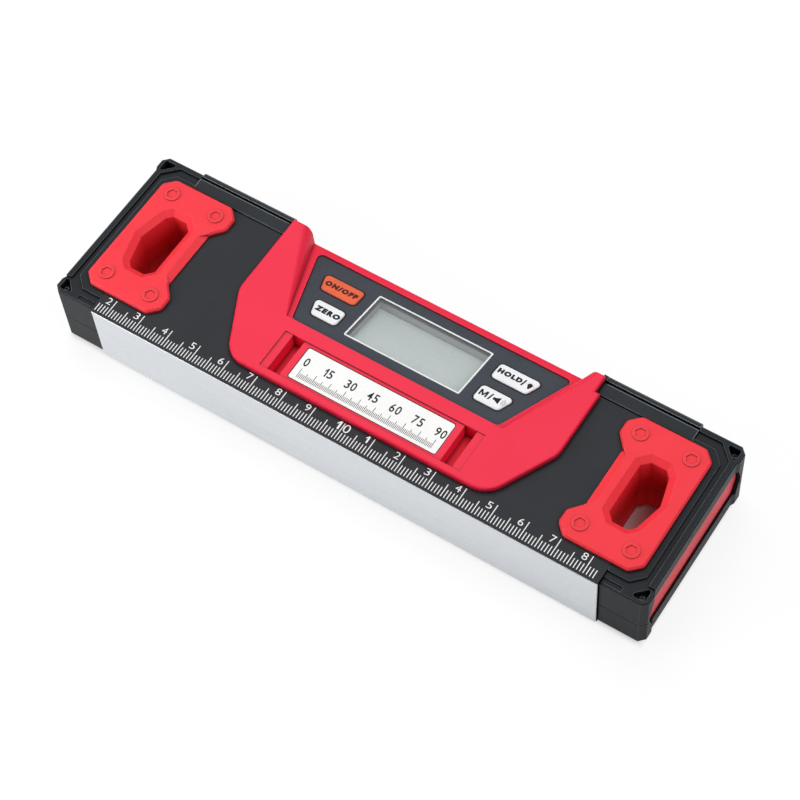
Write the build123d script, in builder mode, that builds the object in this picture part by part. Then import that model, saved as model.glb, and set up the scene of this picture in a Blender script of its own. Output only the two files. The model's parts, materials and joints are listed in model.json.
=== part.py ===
from build123d import *
from math import cos, radians, sin, tan
import os

# Digital protractor: a short electronic level with a tilted display, four keys, an
# aluminium measuring base and a rubber-lined grip hole at each end.
# It lies on its back with the display up. X runs along its length, the measuring base
# faces -Y, and the origin is on the ground under the middle of the whole tool.
# All sizes are in millimetres.

# Overall
tool_width = 58.0           # measuring face to the back of the rails
body_depth = 24.0           # rear face to front face
parting_depth = 13.3        # front face down to the joint between the halves
wall = 2.2                  # moulded wall thickness
fit = 0.15                  # gap between pieces that are fixed together
run_gap = 0.25              # gap round pieces that move

# Measuring base, an aluminium extrusion
base_length = 169.9
base_end_gap = 0.2          # between the base's ends and the end caps
base_thickness = 2.0
base_proud = 0.85           # stands this far in front of the end caps
base_edge_drop = 0.5        # its long edges lie this far inside the two faces
base_edge = 0.3             # bevel round the measuring face
base_rib_depth = 4.0
base_rib_thickness = 1.6
base_rib_head = 4.4
base_rib_offset = 5.6       # from the parting line to each rib
lip_cover = 1.4             # how far the shells reach over the base's long edges

# End caps
cap_length = 14.35
cap_chamfer = 1.8
cap_edge = 0.4              # bevel along the outer edges of both faces
corner_boss_proud = 0.6
corner_boss_length = 4.5
corner_boss_taper = 1.3
cap_step = 0.7              # land below the front face
cap_plate_end_inset = 4.3   # raised plate, measured in from the cap's outline
cap_plate_front_inset = 4.2
cap_plate_back_inset = 4.6
cap_plate_chamfer = 3.5
rim_width = 2.6
rim_back_width = 1.8
rim_start = 5.8             # the end rim starts this far behind the cap's front
rim_chamfer = 4.5
corner_pocket_leg = 4.8
corner_pocket_edge = 1.3
corner_pocket_depth = 3.2
corner_pocket_round = 0.7
parting_groove = 0.4
land_slot_length = 6.1      # shallow slot in the front land, from the seam outwards
land_slot_width = 1.4
land_slot_inset = 0.75
land_slot_depth = 0.4

# Red strip in a window of each end face
window_front_inset = 2.6
window_back_inset = 3.0
window_top_drop = 5.2
window_height = 12.8
window_point = 1.7          # the window's ends come to a blunt point this long
window_point_height = 5.0
window_depth = 1.4
strip_sunk = 0.7
strip_edge = 0.2

# Grips and their through-holes
front_grip_proud = 1.5
rear_grip_proud = 1.0
grip_end_inset = 6.15       # end of the tool to the grip's straight side
grip_length = 26.6          # along the tool
grip_half_width = 21.75
grip_waist = 3.5
grip_waist_half = 10.2
grip_lobe_half = 14.2
grip_corner = 3.2
grip_round = 2.0
grip_edge = 0.6
hole_end_inset = 11.75      # end of the tool to the hole's widest point
hole_bulge = 2.3
hole_width = 8.8            # between the straight side and the ends of the kinked side
hole_half_length = 10.7
hole_chamfer_inner = 2.3
hole_chamfer_outer = 1.7
sleeve_wall = 2.0
mouth_bevel = 2.0
mouth_depth = 1.5
waist_bevel = 2.3
waist_bevel_drop = 1.0

# Rails along the back edge
rail_width = 7.1
rail_wall = 1.8
rail_proud = 0.9            # stands this far behind the end caps
rail_groove_width = 0.9
rail_groove_depth = 0.8
rail_groove_inset = 2.6     # back of the rail to the far groove
rail_bevel = 0.5

# Console, the red panel in the middle
console_offset = 2.5        # its middle lies this far towards +X
console_half_length = 53.8
console_front_inset = 7.2   # measuring face to the console's front edge
console_back_inset = 1.5
console_corner_run = 10.4
console_corner_rise = 20.8
console_corner_round = 8.0
console_rise = 2.0
console_edge = 0.6
rail_notch = 1.6            # the console's right side steps in this far beside its rail
console_body_inset = 3.8    # the body under the panel is this much shorter at each end
console_body_front = 23.0   # measuring face to the body that hangs under the panel

# Tilted display deck
deck_tilt = 12.37
display_back_inset = 16.14  # console's back edge to the middle of the display
display_drop = 3.87         # console's top down to the bezel at the middle of the display
trough_half_front = 36.2    # half the deck's length at its front and back edges
trough_half_back = 47.3
deck_margin_front = 0.4
deck_thickness = 2.8
shoulder_draft = 4.0
shoulder_round_back = 3.5
deck_back_round = 1.8
shoulder_round_front = 0.4
bezel_half_low = 34.6
bezel_half_high = 43.4
bezel_half_height = 13.3
bezel_round = 1.5
bezel_thickness = 1.2
bezel_sunk = 0.4
pane_length = 38.4          # clear window over the display
pane_width = 18.7
pane_ledge = 0.6            # rim of the display frame that carries the window
collar_lap = 1.0            # the display frame's collar reaches this far under the bezel

# Display and electronics, stacked along the deck's normal
lcd_drop = 4.0              # bezel's surface down to the glass of the display
lcd_margin = 1.8            # the display reaches this far past the window on each side
lcd_thickness = 2.0
backlight_thickness = 1.6
board_end_gap = 3.8         # console's walls to the ends of the board
board_low = 11.0            # board edge below and above the middle of the display
board_high = 12.0
board_thickness = 1.6
board_boss_size = 4.2
board_boss_low = (4.5, -8.0)    # in from the board's end, and along the deck
board_boss_high = (2.7, 9.2)
board_screw_radius = 0.9
board_screw_head_radius = 1.8
board_screw_head = 1.0
board_screw_grip = 3.0
sensor_size = 5.0
sensor_height = 1.2
sensor_place = (33.0, 4.0)
buzzer_radius = 4.5
buzzer_height = 2.6
buzzer_place = (-33.0, -2.0)

# Keys
key_gap = 4.0               # window's end to the keys' inner ends
key_outer_margin = 4.5      # bezel's slanted edge to the keys' outer ends
key_high_low_edge = 1.4     # lower edge of the upper pair, along the deck
key_low_low_edge = -8.6     # lower edge of the lower pair
key_height = 6.2
key_round = 1.3
key_proud = 0.45
key_edge = 0.3
key_flange = 0.7
key_flange_thickness = 0.9
key_travel = 0.5
key_stem_size = 2.8
key_stem_length = 1.2
switch_size = 6.0
switch_plunger_size = 3.2
switch_plunger = 0.4

# Label tray in front of the display
tray_half = 33.6
tray_front_inset = 9.27     # measuring face to the tray's front edge
tray_width = 13.4
tray_sunk = 0.3
label_frame_half = 26.95
label_frame_sunk = 0.5
slot_outer_half = 31.0
slot_depth = 5.5
slot_floor = 1.2
label_length = 49.3
label_width = 11.0
label_thickness = 0.4
label_round = 0.6
label_recess = 0.45         # its seat in the frame
label_gap = 0.25

# Battery bay in the rear half
cell_radius = 5.25
cell_length = 44.5
cell_gap = 0.3
cell_nub_radius = 1.9
cell_nub = 0.8
contact_thickness = 0.4
contact_height = 8.0
spring_length = 4.2
spring_radius = 3.4
spring_taper = 14.0
bay_front_inset = 8.7       # measuring face to the bay
bay_wall = 1.8
rear_floor = 2.8
cover_thickness = 1.6
cover_front_lap = 2.0
cover_side_lap = 2.0
cover_tongue = 1.2
cover_tongue_thickness = 0.7
cover_rib_count = 5
cover_rib_pitch = 1.6
cover_rib_width = 0.8
cover_rib_depth = 0.4
cover_rib_length = 16.0
cover_rib_inset = 8.0       # back edge to the middle of the ribs

# Fasteners
cap_screw_inset = 2.7       # cap's outline to the screws' middles
cap_screw_radius = 0.5
cap_screw_head_radius = 1.0
cap_screw_head = 0.9
cap_screw_foot = 4.0        # rear face to the screw's tip
housing_screw_radius = 1.2
housing_screw_head_radius = 2.3
housing_screw_head = 1.6
housing_screw_sunk = 1.4
housing_screw_length = 15.0
housing_boss_size = 6.6
housing_screw_row = 14.0    # rows in front of and behind the middle
housing_screw_gap = 10.0    # console's body to the screws

# Levels and lines that follow from the sizes above
tool_length = base_length + 2 * (base_end_gap + cap_length)
half_length = tool_length / 2
half_width = tool_width / 2
rear_z = rear_grip_proud
front_z = rear_z + body_depth
parting_z = front_z - parting_depth
console_top_z = front_z + console_rise
base_face_y = -half_width
base_back_y = base_face_y + base_thickness
cap_front_y = base_face_y + base_proud
cap_back_y = half_width - rail_proud
seam_x = half_length - cap_length
end_face_x = half_length - corner_boss_proud
shell_end_x = seam_x - fit
shell_front_y = base_back_y + fit
shell_back_y = half_width - rail_wall - fit
rail_front_y = half_width - rail_width
console_x = console_offset
console_body_half = console_half_length - console_body_inset
console_front_y = base_face_y + console_front_inset
console_back_y = half_width - console_back_inset
console_body_y = base_face_y + console_body_front
display_y = console_back_y - display_back_inset
display_z = console_top_z - display_drop
trough_front_y = display_y - bezel_half_height * cos(radians(deck_tilt)) - deck_margin_front
tray_front_y = base_face_y + tray_front_inset
tray_middle_y = tray_front_y + tray_width / 2
tray_floor_z = console_top_z - slot_depth - slot_floor
label_seat_z = console_top_z - label_frame_sunk - label_recess
grip_outer_x = half_length - grip_end_inset
grip_inner_x = grip_outer_x - grip_length
hole_outer_x = half_length - hole_end_inset
left_rail_x = console_x - console_half_length - 2 * fit
right_rail_x = console_x + console_half_length - rail_notch + 2 * fit
deck_plane = Plane(
    origin=(console_x, display_y, display_z),
    x_dir=(1, 0, 0),
    z_dir=(0, sin(radians(deck_tilt)), cos(radians(deck_tilt))),
)
deck_axis = Axis(deck_plane.origin, deck_plane.z_dir)
collar_length = pane_length + 2 * collar_lap
collar_width = pane_width + 2 * collar_lap
lcd_length = pane_length + 2 * lcd_margin
lcd_width = pane_width + 2 * lcd_margin
key_inner = pane_length / 2 + key_gap
board_half = console_body_half - wall - board_end_gap
board_top_w = -(lcd_drop + lcd_thickness + backlight_thickness)
board_bottom_w = board_top_w - board_thickness
deck_under_w = bezel_sunk - deck_thickness
bay_half = (cell_length + cell_nub + spring_length) / 2 + contact_thickness + fit
bay_front_y = base_face_y + bay_front_inset
bay_width = 4 * cell_radius + 3 * cell_gap
bay_middle_y = bay_front_y + bay_width / 2
cell_z = rear_z + cover_thickness + cell_gap + cell_radius
cover_half = bay_half + cover_side_lap
cover_front_y = bay_front_y - cover_front_lap
housing_tip_z = rear_z + housing_screw_sunk + housing_screw_length


def save(builder, name):
    builder.part.label = name
    export_step(builder.part, f"parts/{name}.step")


def deck_height(y, lift):
    # Height of the plane that lies lift above the bezel's surface, at a place along Y.
    tilt = radians(deck_tilt)
    return display_z + lift / cos(tilt) - (y - display_y) * tan(tilt)


def bezel_half_at(v):
    # Half the bezel's length at a distance v up the deck from the display's middle.
    share = (v + bezel_half_height) / (2 * bezel_half_height)
    return bezel_half_low + (bezel_half_high - bezel_half_low) * share


def hole_points():
    # Through-hole of the right grip: straight inner side, kinked outer side.
    widest = hole_outer_x
    outer = widest - hole_bulge
    inner = outer - hole_width
    end = hole_half_length
    upper = [
        (widest, 0),
        (outer, end - hole_chamfer_outer),
        (outer - hole_chamfer_outer, end),
        (inner + hole_chamfer_inner, end),
        (inner, end - hole_chamfer_inner),
    ]
    lower = [(x, -y) for x, y in reversed(upper[1:])]
    return upper + lower


def grip_points():
    # Outline of the right grip: straight outer side, waisted inner side.
    far = grip_outer_x
    near = grip_inner_x
    side = grip_half_width
    upper = [
        (far, side - grip_corner),
        (far - grip_corner, side),
        (near + grip_corner, side),
        (near, side - grip_corner),
        (near, grip_lobe_half),
        (near + grip_waist, grip_waist_half),
    ]
    lower = [(x, -y) for x, y in reversed(upper)]
    return upper + lower


def cap_points():
    # Plan outline of the right end cap, with bosses that stand out at both corners.
    front = cap_front_y
    back = cap_back_y
    tip = half_length
    boss = corner_boss_length
    taper = corner_boss_taper
    return [
        (seam_x, front),
        (tip - cap_chamfer, front),
        (tip, front + cap_chamfer),
        (tip, front + boss),
        (end_face_x, front + boss + taper),
        (end_face_x, back - boss - taper),
        (tip, back - boss),
        (tip, back - cap_chamfer),
        (tip - cap_chamfer, back),
        (seam_x, back),
    ]


def cap_plate_points():
    # Raised plate round the grip, with its two outer corners cut off.
    front = cap_front_y + cap_plate_front_inset
    back = cap_back_y - cap_plate_back_inset
    end = half_length - cap_plate_end_inset
    return [
        (seam_x, front),
        (end - cap_plate_chamfer, front),
        (end, front + cap_plate_chamfer),
        (end, back - cap_plate_chamfer),
        (end - cap_plate_chamfer, back),
        (seam_x, back),
    ]


def rim_inside_points():
    # Everything on the cap's face that lies inside the raised end and back rim.
    start = cap_front_y + rim_start
    back = cap_back_y - rim_back_width
    end = half_length - rim_width
    return [
        (seam_x, cap_front_y),
        (half_length, cap_front_y),
        (half_length, start),
        (end, start),
        (end, back - rim_chamfer),
        (end - rim_chamfer, back),
        (seam_x, back),
    ]


def on_cap_outline(edge):
    # Outer edges of the cap's two faces, which get a bevel.
    middle = edge.center()
    level = abs(edge.start_point().Z - edge.end_point().Z) < cap_edge
    at_front = middle.Y < cap_front_y + cap_chamfer / 2 + cap_edge
    at_back = middle.Y > cap_back_y - cap_chamfer / 2 - cap_edge
    at_end = middle.X > end_face_x - cap_edge
    return level and middle.X > seam_x + cap_edge and (at_front or at_back or at_end)


def window_points(gap):
    # Outline of the window in the cap's end face, across Y and Z, drawn gap smaller.
    front = cap_front_y + window_front_inset + gap
    back = cap_back_y - window_back_inset - gap
    top = front_z - window_top_drop - gap
    bottom = front_z - window_top_drop - window_height + gap
    return [
        (front + window_point, bottom),
        (back - window_point, bottom),
        (back, bottom + window_point_height),
        (back, top - window_point_height),
        (back - window_point, top),
        (front + window_point, top),
        (front, top - window_point_height),
        (front, bottom + window_point_height),
    ]


def corner_screw_places():
    # One screw in each corner pocket of the right cap.
    x = half_length - cap_screw_inset
    return [(x, cap_front_y + cap_screw_inset), (x, cap_back_y - cap_screw_inset)]


def housing_screw_places():
    # Two rows of screws, one pair beyond each end of the console's body.
    x = console_body_half + housing_screw_gap
    rows = (-housing_screw_row, housing_screw_row)
    return [(console_x + side * x, row) for side in (-1, 1) for row in rows]


def console_points():
    # Plan of the console's panel: cut front corners, and a step beside the right rail.
    step_y = rail_front_y - 2 * fit
    narrow = console_half_length - rail_notch
    cut = [
        (console_half_length - console_corner_run, console_front_y),
        (console_half_length, console_front_y + console_corner_rise),
    ]
    back = [
        (console_half_length, step_y),
        (narrow, step_y),
        (narrow, console_back_y),
        (-console_half_length, console_back_y),
    ]
    left = [(-x, y) for x, y in reversed(cut)]
    return [(console_x + x, y) for x, y in cut + back + left]


def grip_half(face_z, sleeve_end_z, proud):
    # One half of the right grip, facing up: flange on the face, sleeve below it.
    waist_x = grip_inner_x + grip_waist
    top_z = face_z + proud
    with BuildPart() as grip:
        with BuildSketch(Plane.XY.offset(face_z)) as flange:
            with BuildLine():
                Polyline(grip_points(), close=True)
            make_face()
            fillet(flange.vertices(), grip_round)
        extrude(amount=proud)
        chamfer(grip.faces().sort_by(Axis.Z)[-1].edges(), length=grip_edge)
        # Wide bevel along the waist, with slanted ends
        with BuildSketch(Plane.YZ.offset(waist_x)):
            with Locations((0, top_z - waist_bevel_drop)):
                Rectangle(2 * grip_waist_half, proud, align=(Align.CENTER, Align.MIN))
        with BuildSketch(Plane.YZ.offset(waist_x + waist_bevel)):
            with Locations((0, top_z)):
                Rectangle(2 * (grip_waist_half - waist_bevel), proud, align=(Align.CENTER, Align.MIN))
        loft(ruled=True, mode=Mode.SUBTRACT)
        with BuildSketch(Plane.XY.offset(sleeve_end_z)):
            with BuildLine():
                Polyline(hole_points(), close=True)
            make_face()
            offset(amount=sleeve_wall, kind=Kind.INTERSECTION)
        extrude(amount=face_z - sleeve_end_z)
        with BuildSketch(Plane.XY.offset(sleeve_end_z)):
            with BuildLine():
                Polyline(hole_points(), close=True)
            make_face()
        extrude(amount=body_depth, mode=Mode.SUBTRACT)
        top = grip.faces().sort_by(Axis.Z)[-1]
        chamfer(top.inner_wires().edges(), length=mouth_bevel, length2=mouth_depth, reference=top)
    return grip.part


def key_points(side, low_edge):
    # A key's outline on the deck: its outer end follows the bezel's slanted edge.
    high_edge = low_edge + key_height
    low_outer = bezel_half_at(low_edge) - key_outer_margin
    high_outer = bezel_half_at(high_edge) - key_outer_margin
    right = [(key_inner, low_edge), (low_outer, low_edge), (high_outer, high_edge), (key_inner, high_edge)]
    if side > 0:
        return right
    return [(-x, y) for x, y in reversed(right)]


def key_middle(side, low_edge):
    points = key_points(side, low_edge)
    return (sum(x for x, y in points) / 4, low_edge + key_height / 2)


def key_outline(side, low_edge, grow):
    with BuildSketch(mode=Mode.PRIVATE) as outline:
        with BuildLine():
            Polyline(key_points(side, low_edge), close=True)
        make_face()
        fillet(outline.vertices(), key_round)
        if grow > 0:
            offset(amount=grow)
    return outline.sketch_local


def bezel_outline(grow):
    low = bezel_half_low
    high = bezel_half_high
    edge = bezel_half_height
    with BuildSketch(mode=Mode.PRIVATE) as outline:
        with BuildLine():
            Polyline((-low, -edge), (low, -edge), (high, edge), (-high, edge), close=True)
        make_face()
        fillet(outline.vertices(), bezel_round)
        if grow > 0:
            offset(amount=grow)
    return outline.sketch_local


def trough_section(y):
    # Cross-section of the cut that sinks the display deck between the shoulders.
    share = (y - trough_front_y) / (console_back_y - trough_front_y)
    edge = shoulder_round_front + (shoulder_round_back - shoulder_round_front) * share
    foot = trough_half_front + (trough_half_back - trough_half_front) * share
    floor = deck_height(y, bezel_sunk)
    bend = foot + (console_top_z - edge - floor) * tan(radians(shoulder_draft))
    middle = edge * (1 - cos(radians(45)))
    above = console_top_z + console_rise
    with BuildSketch(Plane((console_x, y, 0), x_dir=(1, 0, 0), z_dir=(0, -1, 0))) as section:
        with BuildLine():
            Line((-foot, floor), (foot, floor))
            Line((foot, floor), (bend, console_top_z - edge))
            ThreePointArc(
                (bend, console_top_z - edge),
                (bend + middle, console_top_z - middle),
                (bend + edge, console_top_z),
            )
            Polyline(
                (bend + edge, console_top_z),
                (bend + edge, above),
                (-bend - edge, above),
                (-bend - edge, console_top_z),
            )
            ThreePointArc(
                (-bend - edge, console_top_z),
                (-bend - middle, console_top_z - middle),
                (-bend, console_top_z - edge),
            )
            Line((-bend, console_top_z - edge), (-foot, floor))
        make_face()
    return section.sketch


os.makedirs("parts", exist_ok=True)
key_layout = [
    ("on_off_key", -1, key_high_low_edge),
    ("zero_key", -1, key_low_low_edge),
    ("hold_key", 1, key_high_low_edge),
    ("mode_key", 1, key_low_low_edge),
]
board_bosses = (board_boss_low, board_boss_high)
board_boss_places = [(side * (board_half - inset), v) for side in (-1, 1) for inset, v in board_bosses]

# Aluminium measuring base: a face plate with two hooked ribs that slide into the shells
base_low_z = rear_z + base_edge_drop
base_high_z = front_z - base_edge_drop
rib_places = [parting_z - base_rib_offset, parting_z + base_rib_offset]
with BuildPart() as measuring_base:
    with BuildSketch(Plane.YZ.offset(-base_length / 2)):
        with Locations(((base_face_y + base_back_y) / 2, (base_low_z + base_high_z) / 2)):
            Rectangle(base_thickness, base_high_z - base_low_z)
        for rib_z in rib_places:
            with Locations((base_back_y, rib_z)):
                Rectangle(base_rib_depth, base_rib_thickness, align=(Align.MIN, Align.CENTER))
            with Locations((base_back_y + base_rib_depth, rib_z)):
                Rectangle(base_rib_thickness, base_rib_head, align=(Align.MAX, Align.CENTER))
    extrude(amount=base_length)
    face_edges = measuring_base.faces().sort_by(Axis.Y)[0].edges()
    chamfer(face_edges, length=base_edge)
save(measuring_base, "measuring_base")

# Space that the base's ribs take up in the two shells
with BuildPart() as rib_grooves:
    with BuildSketch(Plane.YZ.offset(-half_length)):
        for rib_z in rib_places:
            with Locations((base_back_y, rib_z)):
                Rectangle(
                    base_rib_depth + fit,
                    base_rib_thickness + 2 * fit,
                    align=(Align.MIN, Align.CENTER),
                )
            with Locations((base_back_y + base_rib_depth + fit, rib_z)):
                Rectangle(
                    base_rib_thickness + 2 * fit,
                    base_rib_head + 2 * fit,
                    align=(Align.MAX, Align.CENTER),
                )
    extrude(amount=tool_length)

# Space that a grip's sleeve takes up, cut from the shells and the caps alike
with BuildPart() as right_sleeve_space:
    with BuildSketch(Plane.XY.offset(-body_depth)):
        with BuildLine():
            Polyline(hole_points(), close=True)
        make_face()
        offset(amount=sleeve_wall + fit, kind=Kind.INTERSECTION)
    extrude(amount=3 * body_depth)
with BuildPart() as left_sleeve_space:
    mirror(right_sleeve_space.part, about=Plane.YZ)

# Room for the tops of the cells above the parting line
with BuildPart() as bay_headroom:
    with BuildSketch(Plane.XY.offset(parting_z)):
        with Locations((console_x, bay_middle_y)):
            Rectangle(2 * bay_half, bay_width)
    extrude(amount=cell_z + cell_radius + cell_gap - parting_z)

# Front shell: black face with the opening for the console and the seats for the rails
base_lip_z = base_high_z + fit
base_sill_z = base_low_z - fit
opening_half = console_body_half + fit
opening_y = console_body_y - fit
pocket_end = hole_outer_x - hole_bulge - hole_width - sleeve_wall - fit - wall
pocket_front_y = base_back_y + base_rib_depth + 2 * fit + wall
pocket_back_y = rail_front_y - wall
pocket_depths = pocket_back_y - pocket_front_y
with BuildPart() as front_shell:
    with BuildSketch(Plane.XY.offset(parting_z)):
        with Locations((0, (shell_front_y + shell_back_y) / 2)):
            Rectangle(2 * shell_end_x, shell_back_y - shell_front_y)
    extrude(amount=front_z - parting_z)
    with BuildSketch(Plane.XY.offset(base_lip_z)):
        with Locations((0, shell_front_y)):
            Rectangle(2 * shell_end_x, lip_cover, align=(Align.CENTER, Align.MAX))
    extrude(amount=front_z - base_lip_z)
    with BuildSketch(Plane.XY.offset(parting_z)):
        with Locations((console_x, opening_y)):
            Rectangle(2 * opening_half, tool_width, align=(Align.CENTER, Align.MIN))
    extrude(amount=body_depth, mode=Mode.SUBTRACT)
    with BuildSketch(Plane.XY.offset(tray_floor_z - fit)):
        with Locations((console_x, tray_front_y - wall - fit)):
            Rectangle(
                2 * (tray_half + wall + fit),
                opening_y - tray_front_y + wall + 2 * fit,
                align=(Align.CENTER, Align.MIN),
            )
    extrude(amount=body_depth, mode=Mode.SUBTRACT)
    for pocket_from, pocket_to in (
        (-pocket_end, console_x - opening_half - wall),
        (console_x + opening_half + wall, pocket_end),
    ):
        with BuildSketch(Plane.XY.offset(parting_z)):
            with Locations(((pocket_from + pocket_to) / 2, (pocket_front_y + pocket_back_y) / 2)):
                Rectangle(pocket_to - pocket_from, pocket_depths)
        extrude(amount=front_z - wall - parting_z, mode=Mode.SUBTRACT)
    with BuildSketch(Plane.XY.offset(parting_z)):
        with Locations(*housing_screw_places()):
            Rectangle(housing_boss_size, housing_boss_size)
    extrude(amount=front_z - wall - parting_z)
    with BuildSketch(Plane.XY.offset(parting_z)):
        with Locations(*housing_screw_places()):
            Circle(housing_screw_radius + fit)
    extrude(amount=housing_tip_z + fit - parting_z, mode=Mode.SUBTRACT)
    with BuildSketch(Plane.XY.offset(front_z - rail_wall - fit)):
        with Locations((0, rail_front_y - fit)):
            Rectangle(2 * tool_length, tool_width, align=(Align.CENTER, Align.MIN))
        with Locations(((left_rail_x + right_rail_x) / 2, rail_front_y)):
            Rectangle(right_rail_x - left_rail_x - 2 * fit, tool_width, mode=Mode.SUBTRACT)
    extrude(amount=body_depth, mode=Mode.SUBTRACT)
    add(bay_headroom.part, mode=Mode.SUBTRACT)
    add(rib_grooves.part, mode=Mode.SUBTRACT)
    add(right_sleeve_space.part, mode=Mode.SUBTRACT)
    add(left_sleeve_space.part, mode=Mode.SUBTRACT)
save(front_shell, "front_shell")

# Rear shell: floor with the battery bay, open to the back edge where the cover slides in
with BuildPart() as rear_shell:
    with BuildSketch(Plane.XY.offset(rear_z)):
        with Locations((0, (shell_front_y + shell_back_y) / 2)):
            Rectangle(2 * shell_end_x, shell_back_y - shell_front_y)
    extrude(amount=parting_z - rear_z)
    with BuildSketch(Plane.XY.offset(rear_z)):
        with Locations((0, shell_front_y)):
            Rectangle(2 * shell_end_x, lip_cover, align=(Align.CENTER, Align.MAX))
    extrude(amount=base_sill_z - rear_z)
    for pocket_from, pocket_to in (
        (-pocket_end, console_x - opening_half - wall),
        (console_x + opening_half + wall, pocket_end),
    ):
        with BuildSketch(Plane.XY.offset(rear_z + rear_floor)):
            with Locations(((pocket_from + pocket_to) / 2, (pocket_front_y + pocket_back_y) / 2)):
                Rectangle(pocket_to - pocket_from, pocket_depths)
        extrude(amount=body_depth, mode=Mode.SUBTRACT)
    with BuildSketch(Plane.XY.offset(rear_z + rear_floor)):
        with Locations((console_x, pocket_front_y)):
            Rectangle(
                2 * console_body_half,
                shell_back_y - wall - pocket_front_y,
                align=(Align.CENTER, Align.MIN),
            )
    extrude(amount=body_depth, mode=Mode.SUBTRACT)
    with BuildSketch(Plane.XY.offset(rear_z)):
        with Locations((console_x, bay_middle_y)):
            Rectangle(2 * (bay_half + bay_wall), bay_width + 2 * bay_wall)
    extrude(amount=parting_z - rear_z)
    with BuildSketch(Plane.XY.offset(rear_z)):
        with Locations((console_x, bay_middle_y)):
            Rectangle(2 * bay_half, bay_width)
    extrude(amount=body_depth, mode=Mode.SUBTRACT)
    with BuildSketch(Plane.XY.offset(rear_z)):
        with Locations((console_x, cover_front_y - run_gap)):
            Rectangle(2 * (cover_half + run_gap), tool_width, align=(Align.CENTER, Align.MIN))
    extrude(amount=cover_thickness + run_gap, mode=Mode.SUBTRACT)
    tongue_z = rear_z + cover_thickness - cover_tongue_thickness
    with BuildSketch(Plane.XY.offset(tongue_z - run_gap)):
        with Locations((console_x, cover_front_y - run_gap)):
            Rectangle(
                2 * (cover_half + cover_tongue + run_gap),
                tool_width,
                align=(Align.CENTER, Align.MIN),
            )
    extrude(amount=cover_tongue_thickness + 2 * run_gap, mode=Mode.SUBTRACT)
    with BuildSketch(Plane.XY.offset(rear_z)):
        with Locations(*housing_screw_places()):
            Rectangle(housing_boss_size, housing_boss_size)
    extrude(amount=parting_z - rear_z)
    with Locations(Plane.XY.offset(rear_z)):
        with Locations(*[Location((x, y, 0), (180, 0, 0)) for x, y in housing_screw_places()]):
            CounterBoreHole(
                housing_screw_radius + fit,
                housing_screw_head_radius + fit,
                housing_screw_sunk + housing_screw_head,
            )
    with BuildSketch(Plane.XY.offset(rear_z + rail_wall + fit)):
        with Locations((0, rail_front_y - fit)):
            Rectangle(2 * tool_length, tool_width, align=(Align.CENTER, Align.MIN))
        with Locations(((left_rail_x + right_rail_x) / 2, rail_front_y)):
            Rectangle(right_rail_x - left_rail_x - 2 * fit, tool_width, mode=Mode.SUBTRACT)
    extrude(amount=-body_depth, mode=Mode.SUBTRACT)
    add(rib_grooves.part, mode=Mode.SUBTRACT)
    add(right_sleeve_space.part, mode=Mode.SUBTRACT)
    add(left_sleeve_space.part, mode=Mode.SUBTRACT)
save(rear_shell, "rear_shell")

# Right end cap, made whole and then parted: raised plate and rim on both faces
with BuildPart() as right_cap:
    with BuildSketch(Plane.XY.offset(rear_z + cap_step)):
        with BuildLine():
            Polyline(cap_points(), close=True)
        make_face()
    extrude(amount=body_depth - 2 * cap_step)
    with BuildSketch(Plane.XY.offset(rear_z)):
        with BuildLine():
            Polyline(cap_points(), close=True)
        make_face()
        with BuildLine():
            Polyline(rim_inside_points(), close=True)
        make_face(mode=Mode.SUBTRACT)
        with BuildLine():
            Polyline(cap_plate_points(), close=True)
        make_face()
    extrude(amount=body_depth)
    chamfer(right_cap.edges().filter_by(on_cap_outline), length=cap_edge)
    # Shadow line where the two halves meet
    with BuildSketch(Plane.XY.offset(parting_z - parting_groove / 2)):
        with BuildLine():
            Polyline(cap_points(), close=True)
        make_face()
        offset(amount=-parting_groove, kind=Kind.INTERSECTION, mode=Mode.SUBTRACT)
    extrude(amount=parting_groove, mode=Mode.SUBTRACT)
    with BuildSketch(Plane.XY.offset(front_z - cap_step - land_slot_depth)):
        with Locations((seam_x, cap_front_y + land_slot_inset)):
            Rectangle(land_slot_length, land_slot_width, align=(Align.MIN, Align.MIN))
    extrude(amount=body_depth, mode=Mode.SUBTRACT)
    # Corner pockets with their screw holes
    pocket_x = half_length - corner_pocket_edge
    with BuildSketch(Plane.XY.offset(front_z - corner_pocket_depth)) as pockets:
        for corner_y, inward in ((cap_front_y, 1), (cap_back_y, -1)):
            pocket_y = corner_y + inward * corner_pocket_edge
            with BuildLine():
                Polyline(
                    (pocket_x, pocket_y),
                    (pocket_x - corner_pocket_leg, pocket_y),
                    (pocket_x, pocket_y + inward * corner_pocket_leg),
                    close=True,
                )
            make_face()
        fillet(pockets.vertices(), corner_pocket_round)
    extrude(amount=body_depth, dir=(0, 0, 1), mode=Mode.SUBTRACT)
    with BuildSketch(Plane.XY.offset(rear_z + cap_screw_foot - fit)):
        with Locations(*corner_screw_places()):
            Circle(cap_screw_radius + fit)
    extrude(amount=body_depth, mode=Mode.SUBTRACT)
    # Window for the red strip
    with BuildSketch(Plane.YZ.offset(end_face_x - window_depth)):
        with BuildLine():
            Polyline(window_points(0), close=True)
        make_face()
    extrude(amount=window_depth + corner_boss_proud, mode=Mode.SUBTRACT)
    add(right_sleeve_space.part, mode=Mode.SUBTRACT)

with BuildPart() as right_cap_front:
    add(right_cap.part)
    split(bisect_by=Plane.XY.offset(parting_z), keep=Keep.TOP)
with BuildPart() as right_cap_rear:
    add(right_cap.part)
    split(bisect_by=Plane.XY.offset(parting_z), keep=Keep.BOTTOM)
with BuildPart() as left_cap_front:
    mirror(right_cap_front.part, about=Plane.YZ)
with BuildPart() as left_cap_rear:
    mirror(right_cap_rear.part, about=Plane.YZ)
save(right_cap_front, "right_cap_front")
save(right_cap_rear, "right_cap_rear")
save(left_cap_front, "left_cap_front")
save(left_cap_rear, "left_cap_rear")

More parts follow.
